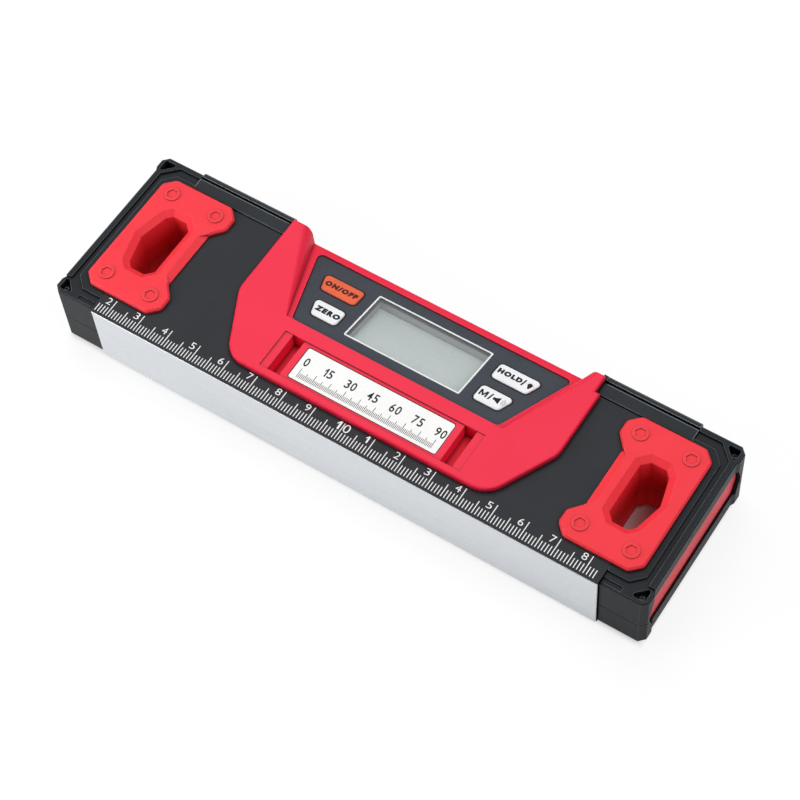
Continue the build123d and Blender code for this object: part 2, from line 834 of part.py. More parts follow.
# Red end strips, set back in the caps' windows
with BuildPart() as right_end_strip:
    with BuildSketch(Plane.YZ.offset(end_face_x - window_depth)):
        with BuildLine():
            Polyline(window_points(fit), close=True)
        make_face()
    extrude(amount=window_depth - strip_sunk)
    chamfer(right_end_strip.faces().sort_by(Axis.X)[-1].edges(), length=strip_edge)
with BuildPart() as left_end_strip:
    mirror(right_end_strip.part, about=Plane.YZ)
save(right_end_strip, "right_end_strip")
save(left_end_strip, "left_end_strip")

# Rubber grips: a waisted flange on each face and a sleeve down to the parting line
with BuildPart() as right_grip_front:
    add(grip_half(front_z, parting_z, front_grip_proud))
with BuildPart() as left_grip_front:
    mirror(right_grip_front.part, about=Plane.YZ)
with BuildPart() as right_grip_rear:
    mirror(grip_half(-rear_z, -parting_z, rear_grip_proud), about=Plane.XY)
with BuildPart() as left_grip_rear:
    mirror(right_grip_rear.part, about=Plane.YZ)
save(right_grip_front, "right_grip_front")
save(left_grip_front, "left_grip_front")
save(right_grip_rear, "right_grip_rear")
save(left_grip_rear, "left_grip_rear")

# Rails: channel strips that clip over the back edge of both shells
for name, rail_from, rail_to in (
    ("left_rail", -shell_end_x, left_rail_x),
    ("right_rail", right_rail_x, shell_end_x),
):
    with BuildPart() as rail:
        with BuildSketch(Plane.YZ.offset(rail_from)):
            with Locations((half_width, rear_z)):
                Rectangle(rail_width, body_depth, align=(Align.MAX, Align.MIN))
            with Locations((half_width - rail_wall, rear_z + rail_wall)):
                Rectangle(
                    rail_width,
                    body_depth - 2 * rail_wall,
                    align=(Align.MAX, Align.MIN),
                    mode=Mode.SUBTRACT,
                )
            with Locations((half_width - rail_groove_inset, front_z)):
                Rectangle(
                    rail_groove_width,
                    rail_groove_depth,
                    align=(Align.MIN, Align.MAX),
                    mode=Mode.SUBTRACT,
                )
        extrude(amount=rail_to - rail_from)
        long_edges = rail.edges().filter_by(Axis.X)
        front_edge = long_edges.group_by(Axis.Z)[-1].sort_by(Axis.Y)[0]
        back_edges = long_edges.group_by(Axis.Y)[-1]
        chamfer([front_edge, *back_edges], length=rail_bevel)
    save(rail, name)

# Red console: panel, hollow body, label tray and the sunken deck for the display
with BuildPart() as console:
    with BuildSketch(Plane.XY.offset(front_z)) as panel:
        with BuildLine():
            Polyline(console_points(), close=True)
        make_face()
        front_corners = panel.vertices().group_by(Axis.Y)[0] + panel.vertices().group_by(Axis.Y)[1]
        fillet(front_corners, console_corner_round)
    extrude(amount=console_rise)
    fillet(console.faces().sort_by(Axis.Z)[-1].edges(), console_edge)
    with BuildSketch(Plane.XY.offset(parting_z + fit)):
        with Locations((console_x, console_body_y)):
            Rectangle(
                2 * console_body_half,
                console_back_y - console_body_y,
                align=(Align.CENTER, Align.MIN),
            )
    extrude(amount=front_z - parting_z - fit)
    with BuildSketch(Plane.XY.offset(tray_floor_z)):
        with Locations((console_x, tray_front_y - wall)):
            Rectangle(
                2 * (tray_half + wall),
                console_body_y - tray_front_y + wall,
                align=(Align.CENTER, Align.MIN),
            )
    extrude(amount=front_z - tray_floor_z)
    # The trough widens and deepens to the back, and its shoulders grow rounder on the way
    add(trough_section(trough_front_y))
    add(trough_section(console_back_y + console_rise))
    loft(ruled=True, mode=Mode.SUBTRACT)
    deck_edge_middle = (console_x, console_back_y, deck_height(console_back_y, bezel_sunk))
    fillet(console.edges().sort_by_distance(deck_edge_middle)[0], deck_back_round)
    with BuildSketch(deck_plane.offset(-bezel_thickness)):
        add(bezel_outline(fit))
    extrude(amount=bezel_thickness + console_rise, mode=Mode.SUBTRACT)
    with BuildSketch(Plane.YZ.offset(console_x)):
        with BuildLine():
            Polyline(
                (console_body_y + wall, 0),
                (console_back_y - wall, 0),
                (console_back_y - wall, deck_height(console_back_y - wall, deck_under_w)),
                (console_body_y + wall, deck_height(console_body_y + wall, deck_under_w)),
                close=True,
            )
        make_face()
    extrude(amount=console_body_half - wall, both=True, mode=Mode.SUBTRACT)
    with BuildSketch(deck_plane.offset(deck_under_w)):
        Rectangle(collar_length + 2 * fit, collar_width + 2 * fit)
        for name, side, low_edge in key_layout:
            add(key_outline(side, low_edge, run_gap))
    extrude(amount=deck_thickness, mode=Mode.SUBTRACT)
    with BuildSketch(deck_plane.offset(board_top_w)):
        with Locations(*board_boss_places):
            Rectangle(board_boss_size, board_boss_size)
    extrude(amount=deck_under_w - board_top_w)
    with BuildSketch(deck_plane.offset(board_top_w)):
        with Locations(*board_boss_places):
            Circle(board_screw_radius + fit)
    extrude(amount=board_screw_grip + fit, mode=Mode.SUBTRACT)
    # Label tray: end pads, two deep slots and the frame that the label sits in
    for half, depth in ((tray_half, tray_sunk), (label_frame_half, label_frame_sunk)):
        with BuildSketch(Plane.XY.offset(console_top_z - depth)):
            with Locations((console_x, tray_middle_y)):
                Rectangle(2 * half, tray_width)
        extrude(amount=console_rise, mode=Mode.SUBTRACT)
    with BuildSketch(Plane.XY.offset(console_top_z - slot_depth)):
        for side in (-1, 1):
            with Locations((console_x + side * (label_frame_half + slot_outer_half) / 2, tray_middle_y)):
                Rectangle(slot_outer_half - label_frame_half, tray_width)
    extrude(amount=slot_depth, mode=Mode.SUBTRACT)
    with BuildSketch(Plane.XY.offset(label_seat_z)):
        with Locations((console_x, tray_middle_y)):
            RectangleRounded(
                label_length + 2 * label_gap,
                label_width + 2 * label_gap,
                label_round + label_gap,
            )
    extrude(amount=console_rise, mode=Mode.SUBTRACT)
    add(bay_headroom.part, mode=Mode.SUBTRACT)
save(console, "console")

# Bezel round the display window and the keys
with BuildPart() as display_bezel:
    with BuildSketch(deck_plane.offset(-bezel_thickness)):
        add(bezel_outline(0))
        Rectangle(pane_length + 2 * fit, pane_width + 2 * fit, mode=Mode.SUBTRACT)
        for name, side, low_edge in key_layout:
            add(key_outline(side, low_edge, run_gap), mode=Mode.SUBTRACT)
    extrude(amount=bezel_thickness)
save(display_bezel, "display_bezel")

# Clear window on the rim of the display frame
with BuildPart() as display_window:
    with BuildSketch(deck_plane.offset(-bezel_thickness)):
        Rectangle(pane_length, pane_width)
    extrude(amount=bezel_thickness)
save(display_window, "display_window")

# Display stack: frame with a collar up through the deck, glass panel, backlight and board
with BuildPart() as lcd_frame:
    with BuildSketch(deck_plane.offset(-lcd_drop)):
        Rectangle(lcd_length, lcd_width)
    extrude(amount=lcd_drop + deck_under_w)
    with BuildSketch(deck_plane.offset(deck_under_w)):
        Rectangle(collar_length, collar_width)
    extrude(amount=-bezel_thickness - deck_under_w)
    with BuildSketch(deck_plane.offset(-lcd_drop)):
        Rectangle(pane_length - 2 * pane_ledge, pane_width - 2 * pane_ledge)
    extrude(amount=lcd_drop, mode=Mode.SUBTRACT)
save(lcd_frame, "lcd_frame")

with BuildPart() as lcd_panel:
    with BuildSketch(deck_plane.offset(-lcd_drop)):
        Rectangle(lcd_length, lcd_width)
    extrude(amount=-lcd_thickness)
save(lcd_panel, "lcd_panel")

with BuildPart() as backlight:
    with BuildSketch(deck_plane.offset(board_top_w)):
        Rectangle(lcd_length, lcd_width)
    extrude(amount=backlight_thickness)
save(backlight, "backlight")

with BuildPart() as main_board:
    with BuildSketch(deck_plane.offset(board_bottom_w)):
        with Locations((0, -board_low)):
            Rectangle(2 * board_half, board_low + board_high, align=(Align.CENTER, Align.MIN))
        with Locations(*board_boss_places):
            Circle(board_screw_radius + fit, mode=Mode.SUBTRACT)
    extrude(amount=board_thickness)
save(main_board, "main_board")

with BuildPart() as board_screws:
    with BuildSketch(deck_plane.offset(board_bottom_w)):
        with Locations(*board_boss_places):
            Circle(board_screw_head_radius)
    extrude(amount=-board_screw_head)
    with BuildSketch(deck_plane.offset(board_bottom_w)):
        with Locations(*board_boss_places):
            Circle(board_screw_radius)
    extrude(amount=board_thickness + board_screw_grip)
save(board_screws, "board_screws")

with BuildPart() as tilt_sensor:
    with BuildSketch(deck_plane.offset(board_bottom_w)):
        with Locations(sensor_place):
            Rectangle(sensor_size, sensor_size)
    extrude(amount=-sensor_height)
save(tilt_sensor, "tilt_sensor")

with BuildPart() as buzzer:
    with BuildSketch(deck_plane.offset(board_bottom_w)):
        with Locations(buzzer_place):
            Circle(buzzer_radius)
    extrude(amount=-buzzer_height)
save(buzzer, "buzzer")

# Four keys, each a cap through the deck, a flange under it and a stem over a switch
flange_top_w = deck_under_w - fit
flange_bottom_w = flange_top_w - key_flange_thickness
stem_bottom_w = flange_bottom_w - key_stem_length
switch_top_w = stem_bottom_w - key_travel - fit
for name, side, low_edge in key_layout:
    with BuildPart() as key:
        with BuildSketch(deck_plane.offset(flange_top_w)):
            add(key_outline(side, low_edge, 0))
        extrude(amount=key_proud - flange_top_w)
        chamfer(key.faces().sort_by(deck_axis)[-1].edges(), length=key_edge)
        with BuildSketch(deck_plane.offset(flange_bottom_w)):
            with BuildLine():
                Polyline(key_points(side, low_edge), close=True)
            make_face()
            offset(amount=key_flange, kind=Kind.INTERSECTION)
        extrude(amount=key_flange_thickness)
        with BuildSketch(deck_plane.offset(flange_bottom_w)):
            with Locations(key_middle(side, low_edge)):
                Rectangle(key_stem_size, key_stem_size)
        extrude(amount=-key_stem_length)
    save(key, name)

with BuildPart() as key_switches:
    for name, side, low_edge in key_layout:
        with BuildSketch(deck_plane.offset(board_top_w)):
            with Locations(key_middle(side, low_edge)):
                Rectangle(switch_size, switch_size)
        extrude(amount=switch_top_w - switch_plunger - board_top_w)
        with BuildSketch(deck_plane.offset(switch_top_w)):
            with Locations(key_middle(side, low_edge)):
                Rectangle(switch_plunger_size, switch_plunger_size)
        extrude(amount=-switch_plunger)
save(key_switches, "key_switches")

# Blank label plate
with BuildPart() as label_plate:
    with BuildSketch(Plane.XY.offset(label_seat_z)):
        with Locations((console_x, tray_middle_y)):
            RectangleRounded(label_length, label_width, label_round)
    extrude(amount=label_thickness)
save(label_plate, "label_plate")

# Battery cover: slides out of the back edge on a tongue along each side
with BuildPart() as battery_cover:
    with BuildSketch(Plane.XY.offset(rear_z)):
        with Locations((console_x, cover_front_y)):
            Rectangle(2 * cover_half, shell_back_y - cover_front_y, align=(Align.CENTER, Align.MIN))
    extrude(amount=cover_thickness)
    with BuildSketch(Plane.XY.offset(tongue_z)):
        with Locations((console_x, cover_front_y)):
            Rectangle(
                2 * (cover_half + cover_tongue),
                shell_back_y - cover_front_y,
                align=(Align.CENTER, Align.MIN),
            )
    extrude(amount=cover_tongue_thickness)
    with BuildSketch(Plane.XY.offset(rear_z)):
        with Locations((console_x, shell_back_y - cover_rib_inset)):
            with GridLocations(0, cover_rib_pitch, 1, cover_rib_count):
                Rectangle(cover_rib_length, cover_rib_width)
    extrude(amount=cover_rib_depth, mode=Mode.SUBTRACT)
save(battery_cover, "battery_cover")

# Two cells side by side, and their contacts
cell_from_x = console_x - bay_half + fit + contact_thickness + spring_length
cell_places = [(bay_middle_y + side * (cell_radius + cell_gap / 2), cell_z) for side in (-1, 1)]
with BuildPart() as battery_cells:
    with BuildSketch(Plane.YZ.offset(cell_from_x)):
        with Locations(*cell_places):
            Circle(cell_radius)
    extrude(amount=cell_length)
    with BuildSketch(Plane.YZ.offset(cell_from_x + cell_length)):
        with Locations(*cell_places):
            Circle(cell_nub_radius)
    extrude(amount=cell_nub)
save(battery_cells, "battery_cells")

spring_foot_x = cell_from_x - spring_length
with BuildPart() as battery_contacts:
    for plate_x in (spring_foot_x - contact_thickness, cell_from_x + cell_length + cell_nub):
        with BuildSketch(Plane.YZ.offset(plate_x)):
            with Locations((bay_middle_y, cell_z)):
                Rectangle(bay_width - 2 * cell_gap, contact_height)
        extrude(amount=contact_thickness)
    with BuildSketch(Plane.YZ.offset(spring_foot_x)):
        with Locations(*cell_places):
            Circle(spring_radius)
    extrude(amount=spring_length, taper=spring_taper)
save(battery_contacts, "battery_contacts")

# Screws: four in the caps' corner pockets, four that hold the shells together
with BuildPart() as cap_screws:
    with BuildSketch(Plane.XY.offset(front_z - corner_pocket_depth)):
        with Locations(*corner_screw_places()):
            Circle(cap_screw_head_radius)
    extrude(amount=cap_screw_head)
    with BuildSketch(Plane.XY.offset(rear_z + cap_screw_foot)):
        with Locations(*corner_screw_places()):
            Circle(cap_screw_radius)
    extrude(amount=front_z - corner_pocket_depth - rear_z - cap_screw_foot)
    mirror(about=Plane.YZ)
save(cap_screws, "cap_screws")

with BuildPart() as housing_screws:
    with BuildSketch(Plane.XY.offset(rear_z + housing_screw_sunk)):
        with Locations(*housing_screw_places()):
            Circle(housing_screw_head_radius)
    extrude(amount=housing_screw_head)
    with BuildSketch(Plane.XY.offset(rear_z + housing_screw_sunk)):
        with Locations(*housing_screw_places()):
            Circle(housing_screw_radius)
    extrude(amount=housing_screw_length)
save(housing_screws, "housing_screws")
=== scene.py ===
import json
from math import cos, pi, radians, sin

import bmesh
import bpy
from mathutils import Matrix, Quaternion, Vector
from mathutils.geometry import convex_hull_2d

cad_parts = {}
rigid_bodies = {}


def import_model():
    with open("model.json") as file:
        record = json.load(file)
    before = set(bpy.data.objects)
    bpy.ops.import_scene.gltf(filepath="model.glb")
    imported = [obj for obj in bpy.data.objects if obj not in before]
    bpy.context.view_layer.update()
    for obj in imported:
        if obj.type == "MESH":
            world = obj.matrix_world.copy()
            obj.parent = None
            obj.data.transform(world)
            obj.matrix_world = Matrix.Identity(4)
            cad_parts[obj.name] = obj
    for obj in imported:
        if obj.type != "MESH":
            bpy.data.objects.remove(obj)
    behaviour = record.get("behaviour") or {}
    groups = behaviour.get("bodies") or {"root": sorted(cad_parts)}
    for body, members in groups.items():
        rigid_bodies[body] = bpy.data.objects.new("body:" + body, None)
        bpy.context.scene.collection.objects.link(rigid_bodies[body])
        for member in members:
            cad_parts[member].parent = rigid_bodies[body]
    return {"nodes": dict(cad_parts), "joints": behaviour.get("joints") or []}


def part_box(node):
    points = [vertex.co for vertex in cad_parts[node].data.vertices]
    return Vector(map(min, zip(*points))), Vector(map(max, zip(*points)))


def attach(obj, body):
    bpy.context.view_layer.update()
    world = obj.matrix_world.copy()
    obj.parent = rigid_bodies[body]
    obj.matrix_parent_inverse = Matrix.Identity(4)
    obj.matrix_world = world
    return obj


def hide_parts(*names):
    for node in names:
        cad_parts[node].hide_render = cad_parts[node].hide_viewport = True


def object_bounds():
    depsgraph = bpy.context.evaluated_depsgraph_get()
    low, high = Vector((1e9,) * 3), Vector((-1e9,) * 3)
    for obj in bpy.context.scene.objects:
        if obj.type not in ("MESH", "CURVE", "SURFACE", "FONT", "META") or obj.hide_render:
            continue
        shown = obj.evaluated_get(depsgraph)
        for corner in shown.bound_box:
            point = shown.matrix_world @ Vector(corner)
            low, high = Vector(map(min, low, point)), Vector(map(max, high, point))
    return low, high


for thing in list(bpy.data.objects):  # nothing but the frame to start with
    bpy.data.objects.remove(thing)

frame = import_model()
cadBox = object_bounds()
scene = bpy.context.scene
mm = 0.001
print("frame loaded:", len(frame["nodes"]), "nodes")


def linear(code):  # sRGB hex code to a linear colour
    parts = [int(code[i:i + 2], 16) / 255 for i in (1, 3, 5)]
    return [c / 12.92 if c < 0.04045 else ((c + 0.055) / 1.055) ** 2.4 for c in parts] + [1.0]


# A socket is linked, anything else is a constant. The colours of a Mix node are its sockets 6 and 7.
def wire(tree, node, values):
    for key, value in values.items():
        if isinstance(value, bpy.types.NodeSocket):
            tree.links.new(value, node.inputs[key])
        else:
            node.inputs[key].default_value = value
    return node


def addNode(tree, kind, values=None, **settings):
    node = tree.nodes.new(kind)
    for key, value in settings.items():
        setattr(node, key, value)
    return wire(tree, node, values or {})


def startMaterial(name):
    material = bpy.data.materials.new(name)
    material.use_nodes = True
    tree = material.node_tree
    return material, tree, tree.nodes["Principled BSDF"]


# Settings that the looks share. Noise counts between two levels. An edge gets its painted highlight
# by how far its rounded normal turns from the plain one, and a nook its painted shade by how shut it is.
toneSpan = {"From Min": 0.35, "From Max": 0.65}
grainSpan = {"From Min": 0.3, "From Max": 0.7}
highlightSpan = {"From Min": 0.99, "From Max": 0.8}
rimHighlightSpan = {"From Min": 0.99, "From Max": 0.9}
openSpan = {"From Min": 0.85, "From Max": 1.0}
creaseShadeSpan = {"From Min": 0.95, "From Max": 0.4}
edgeSamples = 6
creaseShadeShare = 0.12  # painted shade in a crease: how much of the dark tone is left there
# painted shade in holes, from the mouth of a hole to its depth, as shares of half the tool's depth
boreShadeSpan = {"From Min": 0.8, "From Max": 0.2}
endFacing = 0.9  # a face across the length has a normal this much along it
mouldedDepth = 0.1 * mm
fineDepth = 0.05 * mm


# Moulded plastic, rubber and ink: fine grain, slow colour drift, painted highlights on edges and painted
# shade in creases
def mouldedLook(name, look):
    material, tree, shader = startMaterial(name)
    spot = addNode(tree, "ShaderNodeTexCoord").outputs["Object"]
    grain = addNode(
        tree, "ShaderNodeTexNoise", {"Vector": spot, "Scale": 1 / (look["grain"] * mm), "Detail": 2.0})
    cloud = addNode(
        tree, "ShaderNodeTexNoise", {"Vector": spot, "Scale": 1 / (look["cloud"] * mm), "Detail": 3.0})
    tone = addNode(
        tree, "ShaderNodeMix", {"Factor": 0.4, 2: grain.outputs["Fac"], 3: cloud.outputs["Fac"]})
    drift = addNode(tree, "ShaderNodeMapRange", {"Value": tone.outputs[0], **toneSpan})
    body = addNode(
        tree, "ShaderNodeMix",
        {0: drift.outputs[0], 6: linear(look["dark"]), 7: linear(look["light"])}, data_type="RGBA")
    soft = addNode(tree, "ShaderNodeBevel", {"Radius": look["edge"] * mm}, samples=edgeSamples)
    plain = addNode(tree, "ShaderNodeNewGeometry")
    turn = addNode(
        tree, "ShaderNodeVectorMath",
        {0: soft.outputs["Normal"], 1: plain.outputs["Normal"]}, operation="DOT_PRODUCT")
    # Painted highlight: edges where the rounded normal turns, where they stand open, take the lighter
    # highlight colour
    edgeHighlight = addNode(
        tree, "ShaderNodeMapRange", {"Value": turn.outputs["Value"], **highlightSpan, "To Max": look["highlightShare"]})
    reach = look.get("reach", 2 * look["edge"])
    nook = addNode(tree, "ShaderNodeAmbientOcclusion", {"Distance": reach * mm}, samples=edgeSamples)
    proud = addNode(tree, "ShaderNodeMapRange", {"Value": nook.outputs["AO"], **openSpan})
    bare = addNode(tree, "ShaderNodeMath", {0: edgeHighlight.outputs[0], 1: proud.outputs[0]}, operation="MULTIPLY")
    highlighted = addNode(
        tree, "ShaderNodeMix",
        {0: bare.outputs[0], 6: body.outputs[2], 7: linear(look["highlightColour"])}, data_type="RGBA")
    # Painted shade: shut nooks and creases darken towards a small share of the dark tone
    crease = addNode(
        tree, "ShaderNodeMapRange",
        {"Value": nook.outputs["AO"], **creaseShadeSpan, "To Max": look.get("crease", 0.9)})
    creaseShade = [creaseShadeShare * part for part in linear(look["dark"])[:3]] + [1.0]
    colour = addNode(
        tree, "ShaderNodeMix", {0: crease.outputs[0], 6: highlighted.outputs[2], 7: creaseShade}, data_type="RGBA")
    if "boreShade" in look:  # painted shade: darker deep in the holes
        height = addNode(tree, "ShaderNodeSeparateXYZ", {0: spot}).outputs["Z"]
        middle = (cadBox[0].z + cadBox[1].z) / 2
        apart = addNode(tree, "ShaderNodeMath", {0: height, 1: middle}, operation="SUBTRACT")
        distance = addNode(tree, "ShaderNodeMath", {0: apart.outputs[0]}, operation="ABSOLUTE")
        depths = {key: share * middle for key, share in boreShadeSpan.items()}
        inside = addNode(tree, "ShaderNodeMapRange", {"Value": distance.outputs[0], **depths})
        colour = addNode(
            tree, "ShaderNodeMix",
            {0: inside.outputs[0], 6: colour.outputs[2], 7: linear(look["boreShade"])}, data_type="RGBA")
    gloss = addNode(
        tree, "ShaderNodeMapRange",
        {"Value": grain.outputs["Fac"], **grainSpan, "To Min": look["smooth"], "To Max": look["rough"]})
    relief = addNode(
        tree, "ShaderNodeBump",
        {"Strength": look["relief"], "Distance": mouldedDepth, "Height": grain.outputs["Fac"],
         "Normal": soft.outputs["Normal"]})
    wire(tree, shader, {
        "Base Color": colour.outputs[2], "Roughness": gloss.outputs[0], "Normal": relief.outputs["Normal"],
        "Specular IOR Level": look["shine"]})
    return material


# Bare metal: fine lines or blasting in the relief, a painted highlight along the rims
def metalLook(name, look):
    material, tree, shader = startMaterial(name)
    spot = addNode(tree, "ShaderNodeTexCoord").outputs["Object"]
    stretched = addNode(
        tree, "ShaderNodeVectorMath",
        {0: spot, 1: [1 / (size * mm) for size in look["lines"]]}, operation="MULTIPLY")
    lines = addNode(
        tree, "ShaderNodeTexNoise", {"Vector": stretched.outputs[0], "Scale": 1.0, "Detail": 3.0})
    blast = addNode(
        tree, "ShaderNodeTexNoise", {"Vector": spot, "Scale": 1 / (look["grain"] * mm), "Detail": 2.0})
    tone = addNode(
        tree, "ShaderNodeMix", {"Factor": 0.5, 2: lines.outputs["Fac"], 3: blast.outputs["Fac"]})
    drift = addNode(tree, "ShaderNodeMapRange", {"Value": tone.outputs[0], **toneSpan})
    colour = addNode(
        tree, "ShaderNodeMix",
        {0: drift.outputs[0], 6: linear(look["dark"]), 7: linear(look["light"])}, data_type="RGBA")
    gloss = addNode(
        tree, "ShaderNodeMapRange",
        {"Value": tone.outputs[0], **toneSpan, "To Min": look["smooth"], "To Max": look["rough"]})
    soft = addNode(tree, "ShaderNodeBevel", {"Radius": look["edge"] * mm}, samples=edgeSamples)
    plain = addNode(tree, "ShaderNodeNewGeometry")
    turn = addNode(
        tree, "ShaderNodeVectorMath",
        {0: soft.outputs["Normal"], 1: plain.outputs["Normal"]}, operation="DOT_PRODUCT")
    # Painted highlight: the rim colour along edges where the rounded normal turns
    rim = addNode(tree, "ShaderNodeMapRange", {"Value": turn.outputs["Value"], **rimHighlightSpan})
    paintedLightColour = addNode(
        tree, "ShaderNodeMix",
        {0: rim.outputs[0], 6: colour.outputs[2], 7: linear(look["rim"])}, data_type="RGBA")
    if "ends" in look:  # painted shade on the end faces, across the length
        facing = addNode(tree, "ShaderNodeSeparateXYZ", {0: plain.outputs["True Normal"]}).outputs["X"]
        across = addNode(tree, "ShaderNodeMath", {0: facing}, operation="ABSOLUTE")
        endShadeMask = addNode(tree, "ShaderNodeMath", {0: across.outputs[0], 1: endFacing}, operation="GREATER_THAN")
        paintedLightColour = addNode(
            tree, "ShaderNodeMix",
            {0: endShadeMask.outputs[0], 6: paintedLightColour.outputs[2], 7: linear(look["ends"])}, data_type="RGBA")
    relief = addNode(
        tree, "ShaderNodeBump",
        {"Strength": look["relief"], "Distance": fineDepth, "Height": tone.outputs[0],
         "Normal": soft.outputs["Normal"]})
    wire(tree, shader, {
        "Base Color": paintedLightColour.outputs[2], "Metallic": 1.0, "Roughness": gloss.outputs[0],
        "Normal": relief.outputs["Normal"]})
    return material


# Grain sizes are in mm. The finest ones are drawn about twice as coarse as they are, so that they show.
looks = {
    # matte spark-eroded ABS: dark grey, breaks up reflections
    "blackAbsFineGrain": {
        "dark": "#2B2D31", "light": "#323438", "highlightColour": "#54575C", "grain": 0.45, "cloud": 14, "edge": 0.35,
        "highlightShare": 0.7, "smooth": 0.5, "rough": 0.66, "relief": 0.3, "shine": 0.16, "reach": 1.5},
    # ABS from a polished mould: darker and smoother, with brighter painted highlights on its edges
    "blackAbsSatin": {
        "dark": "#1B1F23", "light": "#252A2E", "highlightColour": "#868C92", "grain": 0.7, "cloud": 18, "edge": 0.35,
        "highlightShare": 0.8, "smooth": 0.34, "rough": 0.46, "relief": 0.12, "shine": 0.1, "reach": 1.4,
        "crease": 0.95},
    # the same, with bright painted highlights on its ridges and deeper painted shade in its grooves
    "blackAbsRubbed": {
        "dark": "#24282C", "light": "#2E3337", "highlightColour": "#C0C6CC", "grain": 0.7, "cloud": 18, "edge": 0.45,
        "highlightShare": 1.0, "smooth": 0.34, "rough": 0.46, "relief": 0.12, "shine": 0.1, "reach": 1.8,
        "crease": 1.0},
    # soft rubber: dull, slightly powdery, colour evens out highlights
    "redRubberMatte": {
        "dark": "#F42A38", "light": "#FA3442", "highlightColour": "#FF7880", "grain": 0.5, "cloud": 12, "edge": 0.4,
        "highlightShare": 0.8, "smooth": 0.55, "rough": 0.7, "relief": 0.22, "shine": 0.4, "reach": 1.6, "crease": 0.65,
        "boreShade": "#C4000B"},
    # the same rubber, smoother where it is let into the end faces
    "redRubberSatin": {
        "dark": "#E42E3C", "light": "#EE3A48", "highlightColour": "#FF8890", "grain": 0.5, "cloud": 12, "edge": 0.3,
        "highlightShare": 0.8, "smooth": 0.4, "rough": 0.5, "relief": 0.15, "shine": 0.45},
    # eroded ABS in red, a shade pinker than the rubber
    "redAbsFineGrain": {
        "dark": "#F01A3E", "light": "#F62448", "highlightColour": "#FF7888", "grain": 0.45, "cloud": 16, "edge": 0.4,
        "highlightShare": 0.5, "smooth": 0.48, "rough": 0.62, "relief": 0.28, "shine": 0.35, "reach": 1.3},
    # screen-printed overlay: even dark grey with a low satin gloss
    "greyOverlaySatin": {
        "dark": "#3E434A", "light": "#464B53", "highlightColour": "#747A82", "grain": 0.5, "cloud": 10, "edge": 0.2,
        "highlightShare": 0.6, "smooth": 0.38, "rough": 0.5, "relief": 0.15, "shine": 0.2, "reach": 1.8},
    # pale ABS in the display's shaft
    "paleAbsMatte": {
        "dark": "#9EA2A2", "light": "#ABAFAF", "highlightColour": "#C4C8C8", "grain": 0.5, "cloud": 8, "edge": 0.2,
        "highlightShare": 0.4, "smooth": 0.5, "rough": 0.65, "relief": 0.2, "shine": 0.3},
    # milky acrylic light guide
    "milkyAcrylic": {
        "dark": "#E2E6E2", "light": "#F0F3F0", "highlightColour": "#FFFFFF", "grain": 0.8, "cloud": 9, "edge": 0.2,
        "highlightShare": 0.4, "smooth": 0.25, "rough": 0.35, "relief": 0.1, "shine": 0.5},
    # epoxy-moulded parts: dull black with a mineral fleck
    "blackEpoxy": {
        "dark": "#1E1E20", "light": "#2B2B2E", "highlightColour": "#55575A", "grain": 0.3, "cloud": 4, "edge": 0.15,
        "highlightShare": 0.6, "smooth": 0.45, "rough": 0.65, "relief": 0.3, "shine": 0.4},
    # satin silicone keys: smooth to the finger, soft highlights
    "orangeSilicone": {
        "dark": "#EC6038", "light": "#F46C44", "highlightColour": "#FF9A78", "grain": 0.6, "cloud": 7, "edge": 0.3,
        "highlightShare": 0.5, "smooth": 0.42, "rough": 0.55, "relief": 0.12, "shine": 0.4},
    "whiteSilicone": {
        "dark": "#F2F4F7", "light": "#FAFBFD", "highlightColour": "#FFFFFF", "grain": 0.6, "cloud": 7, "edge": 0.3,
        "highlightShare": 0.5, "smooth": 0.42, "rough": 0.55, "relief": 0.12, "shine": 0.4},
    # lacquered plate, smoother than the keys
    "whiteSatinPlate": {
        "dark": "#EFEFEE", "light": "#F8F8F7", "highlightColour": "#FFFFFF", "grain": 0.8, "cloud": 15, "edge": 0.15,
        "highlightShare": 0.5, "smooth": 0.3, "rough": 0.4, "relief": 0.08, "shine": 0.45},
    # pad-printed inks: slightly uneven cover, matte
    "whiteInk": {
        "dark": "#EDEDED", "light": "#FAFAFA", "highlightColour": "#FFFFFF", "grain": 0.3, "cloud": 5, "edge": 0.05,
        "highlightShare": 0.2, "smooth": 0.5, "rough": 0.65, "relief": 0.1, "shine": 0.3},
    "darkInk": {
        "dark": "#141517", "light": "#202124", "highlightColour": "#2C2D30", "grain": 0.3, "cloud": 5, "edge": 0.05,
        "highlightShare": 0.2, "smooth": 0.5, "rough": 0.65, "relief": 0.1, "shine": 0.3},
    "brownInk": {
        "dark": "#4A140E", "light": "#5A1C14", "highlightColour": "#6A281E", "grain": 0.3, "cloud": 5, "edge": 0.05,
        "highlightShare": 0.2, "smooth": 0.5, "rough": 0.65, "relief": 0.1, "shine": 0.3},
    "greyInk": {
        "dark": "#B4B8BA", "light": "#C6CACC", "highlightColour": "#D4D8DA", "grain": 0.3, "cloud": 5, "edge": 0.05,
        "highlightShare": 0.2, "smooth": 0.5, "rough": 0.65, "relief": 0.1, "shine": 0.3},
}
materials = {name: mouldedLook(name, look) for name, look in looks.items()}

# blasted and anodised extrusion: bright, soft reflections, faint draw lines along it, painted shade on its
# ends
materials["anodisedAluminium"] = metalLook("anodisedAluminium", {
    "dark": "#DADDE1", "light": "#E8EBEE", "lines": (60, 0.5, 0.5), "grain": 0.4, "edge": 0.3,
    "rim": "#F6F8FA", "ends": "#121315", "smooth": 0.42, "rough": 0.56, "relief": 0.14})
# bright zinc on turned steel: greyer and sharper than the aluminium, with a painted highlight on its rims
materials["zincSteel"] = metalLook("zincSteel", {
    "dark": "#9A9DA2", "light": "#C2C5CA", "lines": (1.5, 1.5, 0.2), "grain": 0.25, "edge": 0.12,
    "rim": "#D8DBE0", "smooth": 0.22, "rough": 0.36, "relief": 0.2})
